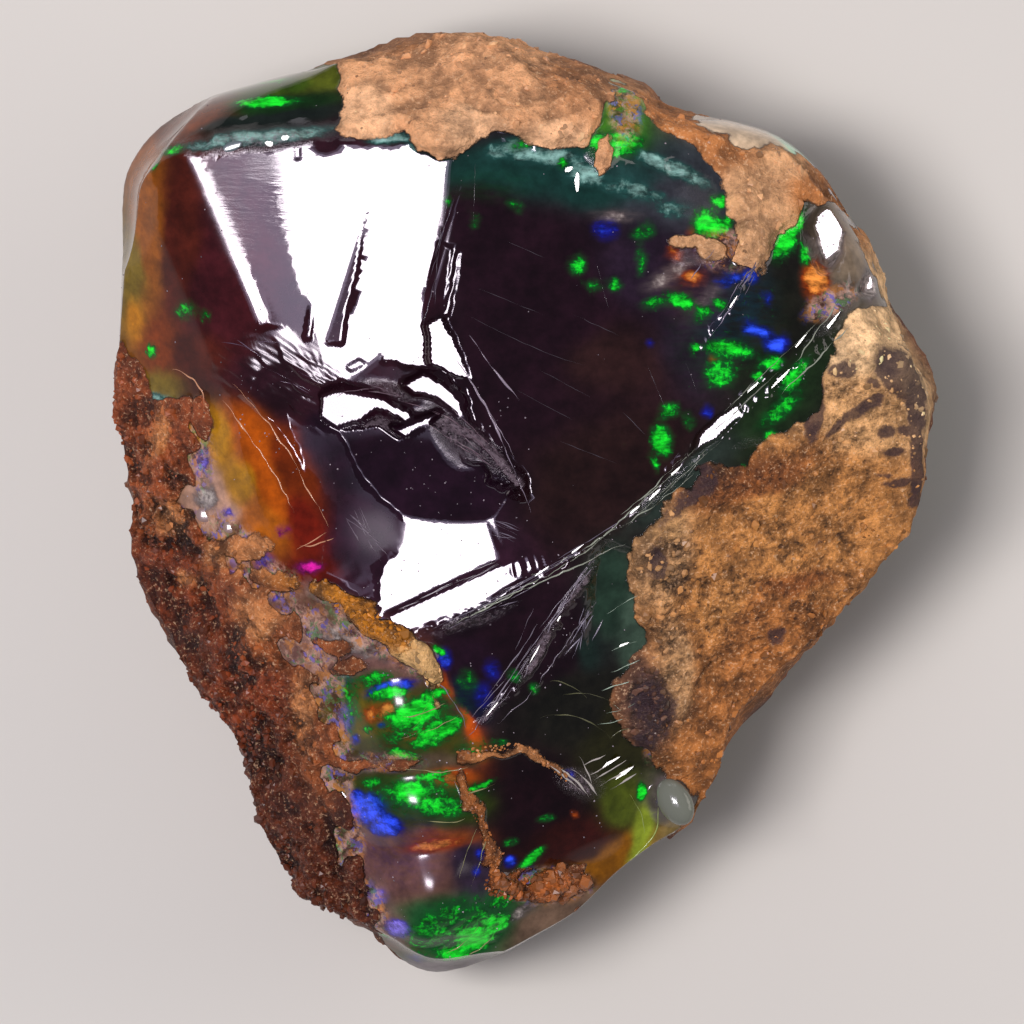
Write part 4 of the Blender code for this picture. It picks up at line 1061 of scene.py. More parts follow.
opalFinish = {
    "glassRoughness": 0.04, "softRoughness": 0.09, "satinRoughness": 0.17, "skinRoughness": 0.42,
    "rockRoughness": 0.8, "knobRoughness": 0.34, "roughnessSpread": 0.5,
    "ior": 1.45, "specularTint": (0.96, 0.9, 1, 1),
    "edgeRaggedness": 0.34,  # mm that the rock's edge wanders
    "bumpDepth": 0.2,  # mm
    "streakSize": 0.32, "brushSize": 0.2, "pitSize": 0.55, "crumbSize": 0.7,
    "crumbStir": 0.5, "stirLength": 0.5,  # mm
    # the pit colour is painted shade in small holes, and the pale fleck colour is painted glints
    "pit": "#3c2014", "paintedGlint": "#e8c098", "manganese": "#33242c", "bruise": "#8b7a84",
}
crumbColours = (  # which channel of the noise, between what levels, colour
    (0, 0.42, 0.56, "#bc9280"), (1, 0.55, 0.62, "#5f8052"), (2, 0.55, 0.62, "#7466ac"),
    (1, 0.47, 0.41, "#bc7c44"),
)
noiseLayers = {  # size in mm, detail, roughness
    "cloud": (2.2, 4, 0.6), "mottle": (0.7, 4, 0.65), "coarse": (1.3, 3, 0.6),
    "specks": (0.2, 5, 0.7), "stains": (1.4, 6, 0.65), "grain": (0.4, 5, 0.7),
    "fine": (0.16, 3, 0.7), "ragged": (0.8, 5, 0.6),
}
flashColours = {  # attribute: dark and bright colour, size of the spangles in mm, how broken
    "teal": ("#1f4642", "#7fa8a0", 0.7, 1.3),
    "milk": ("#5d5252", "#cfc4bc", 0.9, 0.9),
    "orangeFlash": ("#8a3608", "#f09440", 0.5, 0.9),
    "magentaFlash": ("#6a0c50", "#d01e9a", 0.5, 0.9),
    "violetFlash": ("#3a2c98", "#8a78ea", 0.5, 0.8),
    "blueFlash": ("#101478", "#2f52ff", 0.5, 0.9),
    "greenFlash": ("#06501a", "#18e22c", 0.32, 1.35),
}


def opalMaterial():
    # Dark precious opal, broken: glassy conchoidal faces with patches of play of colour, and
    # its weathered volcanic host rock: a sandy, iron-stained crust that scatters all the light.
    material, tree, shader = newMaterial("precious opal in weathered volcanic rock")
    add = partial(addNode, tree)
    finish = opalFinish
    times, plus, timesPlus = ({"operation": name} for name in ("MULTIPLY", "ADD", "MULTIPLY_ADD"))
    smooth, shade = {"interpolation_type": "SMOOTHSTEP"}, {"operation": "SCALE"}
    colours, numbers = {"output": 2, "data_type": "RGBA"}, {"data_type": "FLOAT"}

    place = add("TexCoord", output="Object")
    field = {}
    for name in ("rockEdge", "skin", "knob", "crust", "mixed", *markings):
        field[name] = add("Attribute", output="Fac", attribute_name=name)
    glassTint, rockTint = (add("Attribute", attribute_name=name) for name in ("glassTint", "rockTint"))
    noises = {}
    for name, (size, detail, roughness) in noiseLayers.items():
        noises[name] = add("TexNoise", {
            "Vector": place, "Scale": 1.0 / (size * mm), "Detail": detail, "Roughness": roughness})
    mottle, grain, fine, stains = (noises[name] for name in ("mottle", "grain", "fine", "stains"))

    # play of colour: each patch is broken into spangles
    cloudy = add("MapRange", (noises["cloud"], 0.3, 0.7, 0.7, 1.3), **smooth)
    mottled = add("MapRange", (mottle, 0.25, 0.75, 0.72, 1.28), **smooth)
    glass = add("VectorMath", {0: glassTint, "Scale": add("Math", (cloudy, mottled), **times)}, **shade)
    slant = add("Mapping", {
        "Vector": place, "Scale": (0.3, 1.0, 1.0), "Rotation": (0.0, 0.0, math.radians(-28))})
    streaks = add("TexNoise", {
        "Vector": slant, "Scale": 1.0 / (finish["streakSize"] * mm), "Detail": 4.0, "Roughness": 0.65})
    sheen = add("MapRange", (streaks, 0.3, 0.66, 0.3, 1.35), **smooth)
    coarse = add("Math", (noises["coarse"], 0.5, -0.25), **timesPlus)
    for name, (dark, bright, size, brokenness) in flashColours.items():
        broken = add("TexNoise", {
            "Vector": place, "Scale": 1.0 / (size * mm), "Detail": 5.0, "Roughness": 0.68,
            "Distortion": 0.4})
        level = add("Math", (broken, brokenness, -0.5 * brokenness), **timesPlus)
        level = add("Math", (add("Math", (level, coarse), **plus), field[name]), **plus)
        halo = add("MapRange", (field[name], 0.05, 0.8, 0.0, 0.75), **smooth)
        glass = add("Mix", {0: add("Math", (halo, sheen), **times), 6: glass, 7: dark}, **colours)
        glow = add("MapRange", (level, 0.5, 0.98), **smooth)
        glow = add("Mix", {0: glow, 6: dark, 7: bright}, **colours)
        glow = add("VectorMath", {0: glow, "Scale": sheen}, **shade)
        lit = add("MapRange", (field[name], 0.02, 0.12), **smooth)
        mask = add("Math", (add("MapRange", (level, 0.36, 0.66), **smooth), lit), **times)
        glass = add("Mix", {0: mask, 6: glass, 7: glow}, **colours)

    # opal crumbs of every colour lie between the rock's crumbs
    stir = add("TexNoise", {
        "Vector": place, "Scale": 1.0 / (finish["stirLength"] * mm), "Detail": 3.0}, "Color")
    stir = add("VectorMath", (stir, (finish["crumbStir"] * mm,) * 3, place), **timesPlus)
    crumbs = add("TexNoise", {
        "Vector": stir, "Scale": 1.0 / (finish["crumbSize"] * mm), "Detail": 4.0,
        "Roughness": 0.7}, "Color")
    channels = add("SeparateColor", (crumbs,)).node.outputs
    crumbColour = "#54342c"
    for channel, low, high, colour in crumbColours:
        share = add("MapRange", (channels[channel], low, high), **smooth)
        crumbColour = add("Mix", {0: share, 6: crumbColour, 7: colour}, **colours)
    crumbShade = add("MapRange", (mottle, 0.3, 0.7, 0.6, 1.3), **smooth)
    crumbColour = add("VectorMath", {0: crumbColour, "Scale": crumbShade}, **shade)
    mixed = add("MapRange", (field["mixed"], 0.1, 0.8, 0.0, 0.8), **smooth)
    gaps = add("MapRange", (channels[2], 0.4, 0.5, 0.3, 1.0), **smooth)
    glass = add("Mix", {0: add("Math", (mixed, gaps), **times), 6: glass, 7: crumbColour}, **colours)

    # bruised glass: pale specks
    specks = add("Math", (noises["specks"], field["crushed"]), **times)
    speckMask = add("MapRange", (specks, 0.3, 0.56, 0.0, 0.6), **smooth)
    glass = add("Mix", {0: speckMask, 6: glass, 7: finish["bruise"]}, **colours)

    # rock: mottled by iron, with fine grain, manganese stains, pits darkened with painted shade and pale
    # specks painted as glints
    contrast = add("Math", (field["rockGloss"], 1.4, 0.75), **timesPlus)
    contrast = add("Math", (field["pitted"], 1.9, contrast), **timesPlus)
    mottling = add("Math", (stains, 1.1, -0.55), **timesPlus)
    for layer, weight in ((grain, 1.3), (fine, 0.7)):
        swing = add("Math", (layer, weight, -0.5 * weight), **timesPlus)
        mottling = add("Math", (mottling, swing), **plus)
    level = add("Math", (mottling, contrast, 1.06), **timesPlus)
    level = add("Math", (level, 0.22), operation="MAXIMUM")
    rock = add("VectorMath", {0: rockTint, "Scale": level}, **shade)

    # painted shade: the rock is darker in the hollows between its knobs and lighter on their tops,
    # following their height, and thin crusts end in scalloped lines
    knob = add("Math", (field["knob"], add("Math", (grain, 1.6, -0.8), **timesPlus)), **plus)
    glossHollowShade = add("MapRange", (knob, -0.75, 0.7, 0.14, 1.56), **smooth)
    plainHollowShade = add("MapRange", (knob, -0.9, 0.9, 0.5, 1.36), **smooth)
    hollowShade = add("Mix", {0: field["rockGloss"], 2: plainHollowShade, 3: glossHollowShade}, **numbers)
    crustEnd = add("MapRange", (field["crust"], 0.72, 0.98), **smooth)
    crustLine = add("Math", (crustEnd, field["layered"]), **times)
    for share in (hollowShade, add("Math", (field["crust"], 0.2, 0.9), **timesPlus),
                  add("Math", (crustLine, -0.4, 1.0), **timesPlus)):
        rock = add("VectorMath", {0: rock, "Scale": share}, **shade)
    # dark pits: painted shade inside small holes, which the bump below only dents a little
    pits = add("TexVoronoi", {"Vector": place, "Scale": 1.0 / (finish["pitSize"] * mm)}, feature="F1")
    pitChoice = add("SeparateColor", (pits.node.outputs["Color"],))
    pit = add("Math", (add("MapRange", (pits, 0.3, 0.12), **smooth),
                       add("MapRange", (pitChoice, 0.68, 0.72), **smooth)), **times)
    pit = add("Math", (pit, field["pitted"]), **times)
    # pale specks painted as glints on the rock's grains
    paintedGlint = add("Math", (fine, add("Math", (grain, 0.4), **times)), **plus)
    stain = add("Math", (add("Math", (stains, 1.9, -0.95), **timesPlus), field["black"]), **plus)
    stain = add("Math", (stain, add("Math", (grain, 1.5, -0.75), **timesPlus)), **plus)
    for share, colour in (
            (add("Math", (pit, 0.6), **times), finish["pit"]),
            (add("MapRange", (paintedGlint, 0.76, 0.9, 0.0, 0.6), **smooth), finish["paintedGlint"]),
            (add("MapRange", (stain, 0.24, 0.72, 0.0, 0.86), **smooth), finish["manganese"])):
        rock = add("Mix", {0: share, 6: rock, 7: colour}, **colours)

    # the ragged line between rock and glass, with a thin dark seam
    reachOut = finish["edgeRaggedness"]
    ragged = add("Math", (noises["ragged"], 2.0 * reachOut, -reachOut), **timesPlus)
    edge = add("Math", (field["rockEdge"], ragged), **plus)
    rockMask = add("MapRange", (edge, -0.03, 0.06), **smooth)
    seam = add("Math", (
        add("MapRange", (edge, -0.1, 0.0, 1.0, 0.72), **smooth),
        add("MapRange", (edge, 0.0, 0.14, 0.0, -0.28), **smooth)), operation="SUBTRACT")
    colour = add("Mix", {0: rockMask, 6: glass, 7: rock}, **colours)
    colour = add("VectorMath", {0: colour, "Scale": seam}, **shade)

    # gloss
    soft = add("Math", (field["soft"], finish["softRoughness"], finish["glassRoughness"]), **timesPlus)
    soft = add("Math", (field["satin"], finish["satinRoughness"], soft), **timesPlus)
    skin = add("Math", (field["skin"], finish["skinRoughness"]), **times)
    glassRough = add("Math", (soft, skin), operation="MAXIMUM")
    glassRough = add("Math", (glassRough, add("Math", (speckMask, 0.3), **times)), **plus)
    rockRough = add("Mix", {0: field["rockGloss"], 2: finish["rockRoughness"], 3: finish["knobRoughness"]},
                    **numbers)
    spread = finish["roughnessSpread"]
    rockRough = add("Math", (rockRough, add("Math", (grain, spread, -0.5 * spread), **timesPlus)), **plus)
    roughness = add("Mix", {0: rockMask, 2: glassRough, 3: rockRough}, **numbers)

    # fine relief: brushed lines on the glass, grains on the rock
    brushed = add("Mapping", {
        "Vector": place, "Scale": (0.16, 1.0, 1.0), "Rotation": (0.0, 0.0, math.radians(6))})
    brushed = add("TexNoise", {
        "Vector": brushed, "Scale": 1.0 / (finish["brushSize"] * mm), "Detail": 3.0, "Roughness": 0.6})
    brushed = add("Math", (brushed, add("Math", (field["combed"], 0.03), **times)), **times)
    glassHeight = add("Math", (brushed, add("Math", (specks, 0.7), **times)), **plus)
    fineHeight = add("Math", (fine, 0.45), **times)
    grainHeight = add("Math", (add("Math", (grain, 1.1), **times), fineHeight), **plus)
    grainHeight = add("Math", (grainHeight, add("Math", (pit, 0.5), **times)), operation="SUBTRACT")
    grainHeight = add("Math", (grainHeight, add("Math", (field["rockGloss"], 0.9), **plus)), **times)
    height = add("Mix", {0: rockMask, 2: glassHeight, 3: grainHeight}, **numbers)
    bump = add("Bump", {"Height": height, "Distance": finish["bumpDepth"] * mm, "Strength": 1.0})

    for name, socket in (("Base Color", colour), ("Roughness", roughness), ("Normal", bump)):
        tree.links.new(socket, shader.inputs[name])
    shader.inputs["IOR"].default_value = finish["ior"]
    shader.inputs["Specular Tint"].default_value = finish["specularTint"]
    return material


def makeStone():
    mesh = makeStoneMesh()
    mesh.materials.append(opalMaterial())
    stone = newObject("fire_opal", mesh)
    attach(stone, "root")
    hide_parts("opal_nodule")
    print("  stone:", len(mesh.polygons), "faces")
    return stone


# Thin bright lines: the edges of small steps, cracks and ribs, mostly in pale colours painted as the
# highlights along them; the scratches are dark.
lineSets = {  # half width, wobble, colour, routes
    "scoop rim": (0.04, 0.05, "#8c7f8e", (
        ((-3.5, 6.8), (-2.6, 5.6), (-1.9, 4.4), (-1.1, 2.6), (-0.6, 1.4), (0, -0.2)),
        ((-2.9, 6), (-1.4, 3.6), (-0.7, 2.2)), ((-2.8, 8), (-1.5, 6.2), (-0.4, 4.9)),
    )),
    "long ridge": (0.036, 0.12, "#8f9486", (
        ((15.6, 8.9), (13.5, 6.7), (11.9, 5.2)), ((14.9, 10), (14, 8.6), (12.6, 6.7)),
        ((7.6, 1.4), (5.9, -0.1), (3.6, -1.5), (2.2, -2.4), (0.4, -3.2)),
        ((6.6, 1.4), (5.2, 0), (3.2, -1.8), (1.4, -3.1), (-0.6, -4.1), (-2.6, -5)),
        ((4.4, -1.9), (2.4, -2.9), (0, -3.9), (-1.9, -4.9), (-4.2, -5.9)),
        ((7.4, 2.4), (6.4, 1.3), (5.4, 0.3), (4.4, -0.4)),
    )),
    "crack": (0.032, 0.14, "#7d7480", (
        ((3.3, -2.2), (2.2, -4), (0.7, -6.4), (-0.4, -8.4), (-1.8, -9.8), (-2.9, -10.8)),
        ((3.1, -4.7), (2.2, -6), (1.1, -7.6), (0, -9.1), (-1.4, -10.2)),
        ((-4.5, -8.2), (-3.6, -9.3), (-2.8, -10.8)),
    )),
    "upper crack": (0.03, 0.12, "#7c7486", (
        ((10.6, 11.2), (9.9, 9.8), (9.2, 8.7), (8.2, 7.6)), ((10.2, 10.9), (9.4, 9.4), (8.6, 8.4)),
        ((8.9, 12.1), (8.1, 11.2), (7.6, 10.6)),
    )),
    "green glass ribs": (0.022, 0.05, "#a3b5a4", (
        ((3.9, -7), (4.6, -6.7), (5.2, -6.5)), ((3.4, -8.9), (4.2, -8.6), (5, -8.4)),
        ((3.7, -5.2), (4.4, -4.8), (5.2, -4.3)), ((3.9, -8), (4.6, -7.7), (5.3, -7.4)),
        ((3.6, -9.9), (4.4, -9.8), (5.1, -9.4)), ((3.2, -10.4), (4, -10.4), (4.7, -10.1)),
    )),
    "dark glass arcs": (0.03, 0.05, "#5a5a40", (
        ((0.6, -10.2), (1.8, -10), (3, -10.4), (3.8, -11.2)),
        ((1.6, -9.2), (2.8, -9), (3.9, -9.4), (4.6, -10.2)), ((3.9, -11.2), (4.3, -10.8), (4.9, -10.7)),
        ((1, -8.4), (2, -8.6), (2.8, -9.3)),
    )),
    "cell ribs": (0.05, 0.06, "#b0a9a4", (
        ((2.9, -12.9), (3.6, -12.5), (4.3, -12)), ((3.1, -13.2), (4, -12.6), (4.7, -12.2)),
        ((3.4, -13.4), (4.3, -12.9), (5.1, -12.4)), ((3.9, -13.6), (4.7, -13.1), (5.2, -12.8)),
        ((2.6, -12.4), (3.3, -12.1), (3.8, -11.9)), ((1, -12.4), (1.8, -13), (2.6, -13.7)),
        ((1.4, -12.5), (2.3, -13.2), (2.9, -14)), ((2, -12.6), (2.8, -13.2), (3.3, -14)),
        ((2.4, -12), (2.9, -12.9), (3, -13.6)),
    )),
    "lobe edges": (0.028, 0.08, "#8e8a62", (
        ((-3.2, -9.9), (-4.4, -10.6), (-5.6, -11), (-6.6, -11.2)),
        ((-2.9, -12.4), (-4, -12.7), (-5.4, -12.6), (-6.6, -12.4)),
        ((-1.5, -13.2), (-2.4, -13.6), (-3.4, -13.8)), ((-3.9, -9.4), (-5, -9.9), (-6, -10)),
        ((-3, -14.9), (-4, -15.1), (-5.2, -14.9)), ((-2, -15.6), (-2.3, -17), (-2.7, -18.2)),
        ((-2.4, -15.4), (-3, -16.8), (-3.2, -17.8)), ((-4.6, -9.1), (-5.3, -10.4), (-5.9, -11)),
        ((-4, -21.4), (-3, -20.9), (-2.4, -20)), ((-3.4, -21.7), (-2.3, -21.2), (-1.6, -20.4)),
    )),
    "green cell edge": (0.035, 0.05, "#9aa860", (
        ((5.9, -14), (6.2, -15.2), (5.7, -16.2), (4.6, -17)), ((4.8, -13.8), (5.4, -14.8), (5.5, -15.8)),
    )),
    "amber edge": (0.036, 0.1, "#c89272", (
        ((-13.9, 5.4), (-12.6, 4.2), (-11.2, 2.2), (-10.4, 0.6), (-9.6, -0.9)),
        ((-14.4, 4.8), (-13.2, 3.2), (-12, 1.4), (-11.2, -0.4)),
        ((-11, -2.2), (-10.1, -1.7), (-9.3, -1.2)), ((-10.9, -2), (-10, -1.9), (-9.2, -1.6)),
        ((-16.9, 6.3), (-16, 6), (-15.4, 5.2), (-15.6, 4.2)),
    )),
    "scratches": (0.011, 0.03, "#4c464e", (
        ((-3, 9), (0.2, 7.4), (2.6, 6.6)), ((-2.4, 10.2), (1, 8.8)), ((0.4, 6.4), (3, 5)),
        ((-0.6, 5.4), (2.2, 3.9)), ((5.6, 6.6), (6.6, 4.2)), ((3.2, 11.4), (3.8, 9.2)),
        ((-2.5, 16.1), (-2.6, 13.2)), ((1.4, 3), (4.2, 1.9)), ((-1, 12.4), (0.8, 11.6)),
        ((4.4, 4.4), (5.6, 3.2)), ((2, 9), (4.4, 7.9)), ((7.4, 6.8), (8, 5.2)),
    )),
}

# their greys are painted streaks of highlight and reflection along cracks, ridges and the lit faces
featherSets = {  # bundles of thin edges: route, spread, how many, half width, colour
    "crack": (((3.3, -2.4), (-2.8, -10.7)), 0.3, 14, 0.022, "#857d8a"),
    "crack wing": (((3.2, -5.2), (1.2, -8.4)), 0.4, 10, 0.03, "#8a8494"),
    "ridge": (((15.2, 9.4), (10.2, 4.6), (4.8, -0.8)), 0.34, 8, 0.02, "#787c70"),
    "lower ridge": (((5, -0.6), (0.2, -3.6), (-5.2, -6.3)), 0.22, 12, 0.022, "#6a6270"),
    "reflection's side": (((-3, 16), (-5, 8.4)), 0.45, 9, 0.014, "#4a4250"),
    "gap": (((-6.2, -5), (-1.4, -2.75)), 0.12, 10, 0.02, "#a59fa8"),
    "highlight's corner": (((-1.9, -0.9), (0.2, -1.9)), 0.35, 8, 0.02, "#6f6674"),
    "septum": (((-8.4, -0.4), (-6.6, -2.6)), 0.5, 10, 0.024, "#6b5f6b"),
    "hackle fan": (((-14.6, 7.2), (-12, 6.4), (-9.2, 4.9)), 0.8, 8, 0.022, "#5a485a"),
    "ledge": (((-9, 5), (-4.6, 4.4), (-1, 1.2)), 0.35, 12, 0.025, "#6a5660"),
    "upper corner": (((11, 11.4), (8.4, 7.6)), 0.3, 8, 0.03, "#645c6c"),
}

threadSetup = {
    "sides": 6, "flatness": 0.9, "roughness": 0.16,
    "spacing": 0.14,  # mm between its rings
    "taper": 4,  # each end narrows over one part in this many of the length
    "thickness": (0.7, 1.6, 0.7), "thicknesses": (0.12, 1.6),  # mean, spread and mm of its changes; limits
    "wobbleLength": 0.5,  # mm
    "shifts": 50, "bendShifts": (0, 9), "thickShift": 3,  # of the noises
    "merge": 0.0005,  # mm, closes the seam and the tips
    "widths": (0.5, 1.3), "wobble": 0.05,  # of the edges in a bundle
    "latestStart": 0.75, "lengths": (0.12, 0.45), "step": 0.5,  # shares of the route, and mm
    "twist": (0.4, 0.6),  # the shares of both ends' offsets at the far end
}


def feather(route, spread):
    # one edge of a bundle: part of the route, a little to one side of it
    path = alongRoute(route, threadSetup["step"])
    first = rng.uniform(0.0, threadSetup["latestStart"])
    last = min(first + rng.uniform(*threadSetup["lengths"]), 1.0)
    part = path[int(first * (len(path) - 1)): int(last * (len(path) - 1)) + 1]
    if len(part) < 3:
        part = path[:3]
    ahead = part[-1] - part[0]
    across = np.array((-ahead[1], ahead[0])) / np.linalg.norm(ahead)
    start, end = rng.normal(0.0, spread, 2)
    near, far = threadSetup["twist"]
    shift = np.linspace(start, start * near + end * far, len(part))
    return part + shift[:, None] * across


def surfaceOf(piece):
    # a way to ask for the height and the facing of the stone's top
    surface = BVHTree.FromObject(piece, bpy.context.evaluated_depsgraph_get())

    def at(x, y):
        above, down = Vector((x, y, skyHigh)) * mm, Vector((0.0, 0.0, -1.0))
        spot, facing, index, away = surface.ray_cast(above, down)
        return (spot / mm, facing) if spot else (None, None)

    return at


def alongRoute(route, spacing, steps=16):
    # evenly spaced points on a smooth line through the route
    ends = np.array(route, float)
    curve = closedCurve(ends, steps)[:steps * (len(ends) - 1) + 1] if len(ends) > 2 else ends
    reached = distanceAlong(curve)
    spots = np.linspace(0.0, reached[-1], max(int(reached[-1] / spacing), 3))
    return np.column_stack([np.interp(spots, reached, curve[:, i]) for i in (0, 1)])


def addThread(bm, tint, surface, route, halfWidth, wobble, colour):
    # a closed thread that tapers to both ends and lies half sunk along its route
    path = alongRoute(route, threadSetup["spacing"])
    shift = rng.uniform(0.0, threadSetup["shifts"])
    flat = np.column_stack([path, np.zeros(len(path))])
    bends = [noiseAt(flat, threadSetup["wobbleLength"], shift + s) for s in threadSetup["bendShifts"]]
    path = path + wobble * np.stack(bends, 1)
    mean, spread, wavelength = threadSetup["thickness"]
    thick = mean + spread * noiseAt(flat, wavelength, shift + threadSetup["thickShift"])
    thick = np.clip(thick, *threadSetup["thicknesses"])
    spots = [surface(*p) for p in path]
    if any(spot is None for spot, facing in spots):
        return
    last = len(path) - 1
    made = bmesh.ops.create_grid(bm, x_segments=last, y_segments=threadSetup["sides"], size=0.5)
    for vert in made["verts"]:
        index = min(int(round((vert.co.x + 0.5) * last)), last)
        turn = (vert.co.y + 0.5) * 2.0 * math.pi
        spot, facing = spots[index]
        ahead = path[min(index + 1, last)] - path[max(index - 1, 0)]
        across = Vector((-ahead[1], ahead[0], 0.0)).normalized()
        taper = min(1.0, threadSetup["taper"] * min(index, last - index) / len(path))
        width = halfWidth * thick[index] * taper
        rise = facing * width * threadSetup["flatness"]
        vert.co = (spot + across * width * math.cos(turn) - rise * math.sin(turn)) * mm
        vert[tint] = (*toLinear(colour), 1.0)
    bmesh.ops.remove_doubles(bm, verts=made["verts"], dist=threadSetup["merge"] * mm)


def makeThreads(surface):
    bm, tint = tintedBmesh()
    for halfWidth, wobble, colour, routes in lineSets.values():
        for route in routes:
            addThread(bm, tint, surface, route, halfWidth, wobble, colour)
    for route, spread, count, halfWidth, colour in featherSets.values():
        for n in range(count):
            line = feather(route, spread)
            width = halfWidth * rng.uniform(*threadSetup["widths"])
            addThread(bm, tint, surface, line, width, threadSetup["wobble"], colour)
    bmesh.ops.recalc_face_normals(bm, faces=bm.faces)
    # fresh splinter edges of opal, thin and as glassy as the faces, with pale colours painted as the
    # highlights along them
    material = tintedMaterial("opal splinter edge with painted highlights", threadSetup["roughness"], opalFinish["ior"])
    finishPiece(bm, "splinter_edges_with_painted_highlights", material).data.shade_smooth()


chipSet = {
    "slope": (0.13, 0),  # the rise that sends the panel's light straight up
    "depth": 0.5, "lift": 0.03, "roughness": 0.08,
    "corners": 14, "unevenness": (0.8, 1.12),  # of a flat facet's edge
    # colour, then x, y, half length, half width, degrees, bulge
    "facets": {
        "crest chips": ("#5a6468", (
            (-14, 16.9, 0.5, 0.22, 20, 0.03), (-12.3, 17, 0.28, 0.16, 5, 0),
            (-11.5, 17.3, 0.2, 0.12, 5, 0),
        )),
        "back chips": ("#40524e", ((2.3, 15.2, 0.12, 0.45, 0, 0), (1.9, 15.8, 0.2, 0.12, 30, 0))),
        "cell ribs": ("#3a3a30", ((3.7, -12.4, 0.7, 0.07, 30, 0), (4.3, -12.95, 0.8, 0.1, 31, 0))),
        "chip spots": ("#8c7470", ((-15.4, -0.5, 0.4, 0.36, 0, 0.05), (-14.2, -1.1, 0.3, 0.28, 0, 0.04))),
        "green glass rib": ("#3e5244", ((4.4, -6.7, 0.4, 0.05, 18, 0),)),
        "upper ridge glints": ("#5c6454", (
            (14.2, 8.4, 0.9, 0.07, 52, 0), (12.7, 7.5, 0.7, 0.05, 50, 0), (11.9, 5.9, 0.8, 0.06, 46, 0),
            (10.6, 5.5, 0.4, 0.05, 42, 0),
        )),
        "middle ridge glints": ("#4a5448", (
            (6.9, 1.5, 0.5, 0.05, 44, 0), (5.9, 0.4, 0.45, 0.07, 44, 0), (5, -0.3, 0.35, 0.05, 40, 0),
        )),
        "lower ridge and crack glints": ("#3c343c", (
            (2.2, -2.2, 0.5, 0.04, 36, 0), (0.6, -3.2, 0.5, 0.04, 34, 0), (1.4, -5.5, 0.5, 0.035, 62, 0),
            (0.3, -7.1, 0.45, 0.03, 60, 0), (-1.7, -9.7, 0.5, 0.03, 50, 0),
        )),
        "upper crack glint": ("#4a4650", ((9.6, 9.4, 0.5, 0.04, 58, 0),)),
        "bead": ("#6f7268", ((7, -14.2, 1.2, 0.8, -60, 0.55),)),
    },
}


def addFacet(bm, tint, surface, colour, x, y, halfLength, halfWidth, degrees, bulge):
    # bulge 0 is a flat-topped splinter, more is a lens with a soft-edged reflection
    spot, facing = surface(x, y)
    if spot is None:
        return
    turn = math.radians(degrees)
    riseX, riseY = chipSet["slope"]
    if bulge:
        made = bmesh.ops.create_icosphere(bm, subdivisions=4, radius=1.0)["verts"]
        growth = {vert: (1.0, bulge * vert.co.z) for vert in made}
    else:
        corners = chipSet["corners"]
        upper = bmesh.ops.create_circle(bm, cap_ends=True, segments=corners, radius=1.0)["verts"]
        grown = bmesh.ops.extrude_face_region(bm, geom=[next(iter(upper[0].link_faces))])
        lower = [g for g in grown["geom"] if isinstance(g, bmesh.types.BMVert)]
        made = upper + lower
        growth = {}
        for top, bottom in zip(upper, lower):
            grow = rng.uniform(*chipSet["unevenness"])
            growth[top], growth[bottom] = (grow, 0.0), (grow, -chipSet["depth"])
    for vert in made:
        grow, lift = growth[vert]
        along, across = vert.co.x * halfLength * grow, vert.co.y * halfWidth * grow
        dx = along * math.cos(turn) - across * math.sin(turn)
        dy = along * math.sin(turn) + across * math.cos(turn)
        height = spot.z + chipSet["lift"] + riseX * dx + riseY * dy + lift
        vert.co = Vector((x + dx, y + dy, height)) * mm
        vert[tint] = (*toLinear(colour), 1.0)


def makeChips(surface):
    bm, tint = tintedBmesh()
    for colour, facets in chipSet["facets"].values():
        for facet in facets:
            addFacet(bm, tint, surface, colour, *facet)
    bmesh.ops.recalc_face_normals(bm, faces=bm.faces)
    # the same dark glassy opal as the faces around it: one small flat mirror each
    material = tintedMaterial("opal chip facet", chipSet["roughness"], opalFinish["ior"])
    finishPiece(bm, "glass_facets", material)


grainSet = {
    # half size in mm, power that keeps most of them small, share of it sunk in, shades, unevenness
    "sand": ((0.06, 0.26), 3, (0.35, 0.85), (0.35, 1.35), 0.5),
    "bead": ((0.09, 0.34), 2, (0.2, 0.8), (0.4, 1.4), 0.45),
    "mote": ((0.02, 0.045), 1, None, (0.4, 1.6), 0.4),
    "sandGrains": 4200, "crustBeads": 160, "motes": 420,
    "beadsPerWidth": 520, "beadShare": (0.3, 0.7),  # along a vein: how many, and how big for its width
    "crust": (0.3, -18.1, 2.6, 1), "crustColour": "#8a5028", "moteColour": "#8a7f88",
    "sandAbove": 10, "motesAbove": 15,  # mm above the resting face
    "insideRock": 0.25, "outsideRock": -0.3,  # mm from the rock's edge
    "plainShare": 0.35,  # how much sand lies on rock without gloss
    "veinReach": 1.1,  # of the vein's half width
    "bumpiness": 0.3, "brightest": 0.8, "roughness": 0.42, "ior": 1.5,
}


def addGrain(bm, tint, middle, radius, colour, jitter):
    made = bmesh.ops.create_icosphere(bm, subdivisions=1, radius=1.0)
    stretch = rng.uniform(1.0 - jitter, 1.0 + jitter, 3)
    turn = Matrix.Rotation(rng.uniform(0.0, 2.0 * math.pi), 3, Vector(rng.normal(size=3)).normalized())
    for vert in made["verts"]:
        bumpy = 1.0 + rng.uniform(-grainSet["bumpiness"], grainSet["bumpiness"]) * jitter
        local = turn @ Vector([c * k for c, k in zip(vert.co, stretch)])
        vert.co = (middle + local * radius * bumpy) * mm
        vert[tint] = (*colour, 1.0)


def addInBatches(bm, jobs, batch=100):
    # an operator slows down as its mesh grows, so the grains are made in small meshes
    for start in range(0, len(jobs), batch):
        part, tint = tintedBmesh()
        for job in jobs[start:start + batch]:
            addGrain(part, tint, *job)
        mesh = meshFrom(part, "batch")
        bm.from_mesh(mesh)
        bpy.data.meshes.remove(mesh)


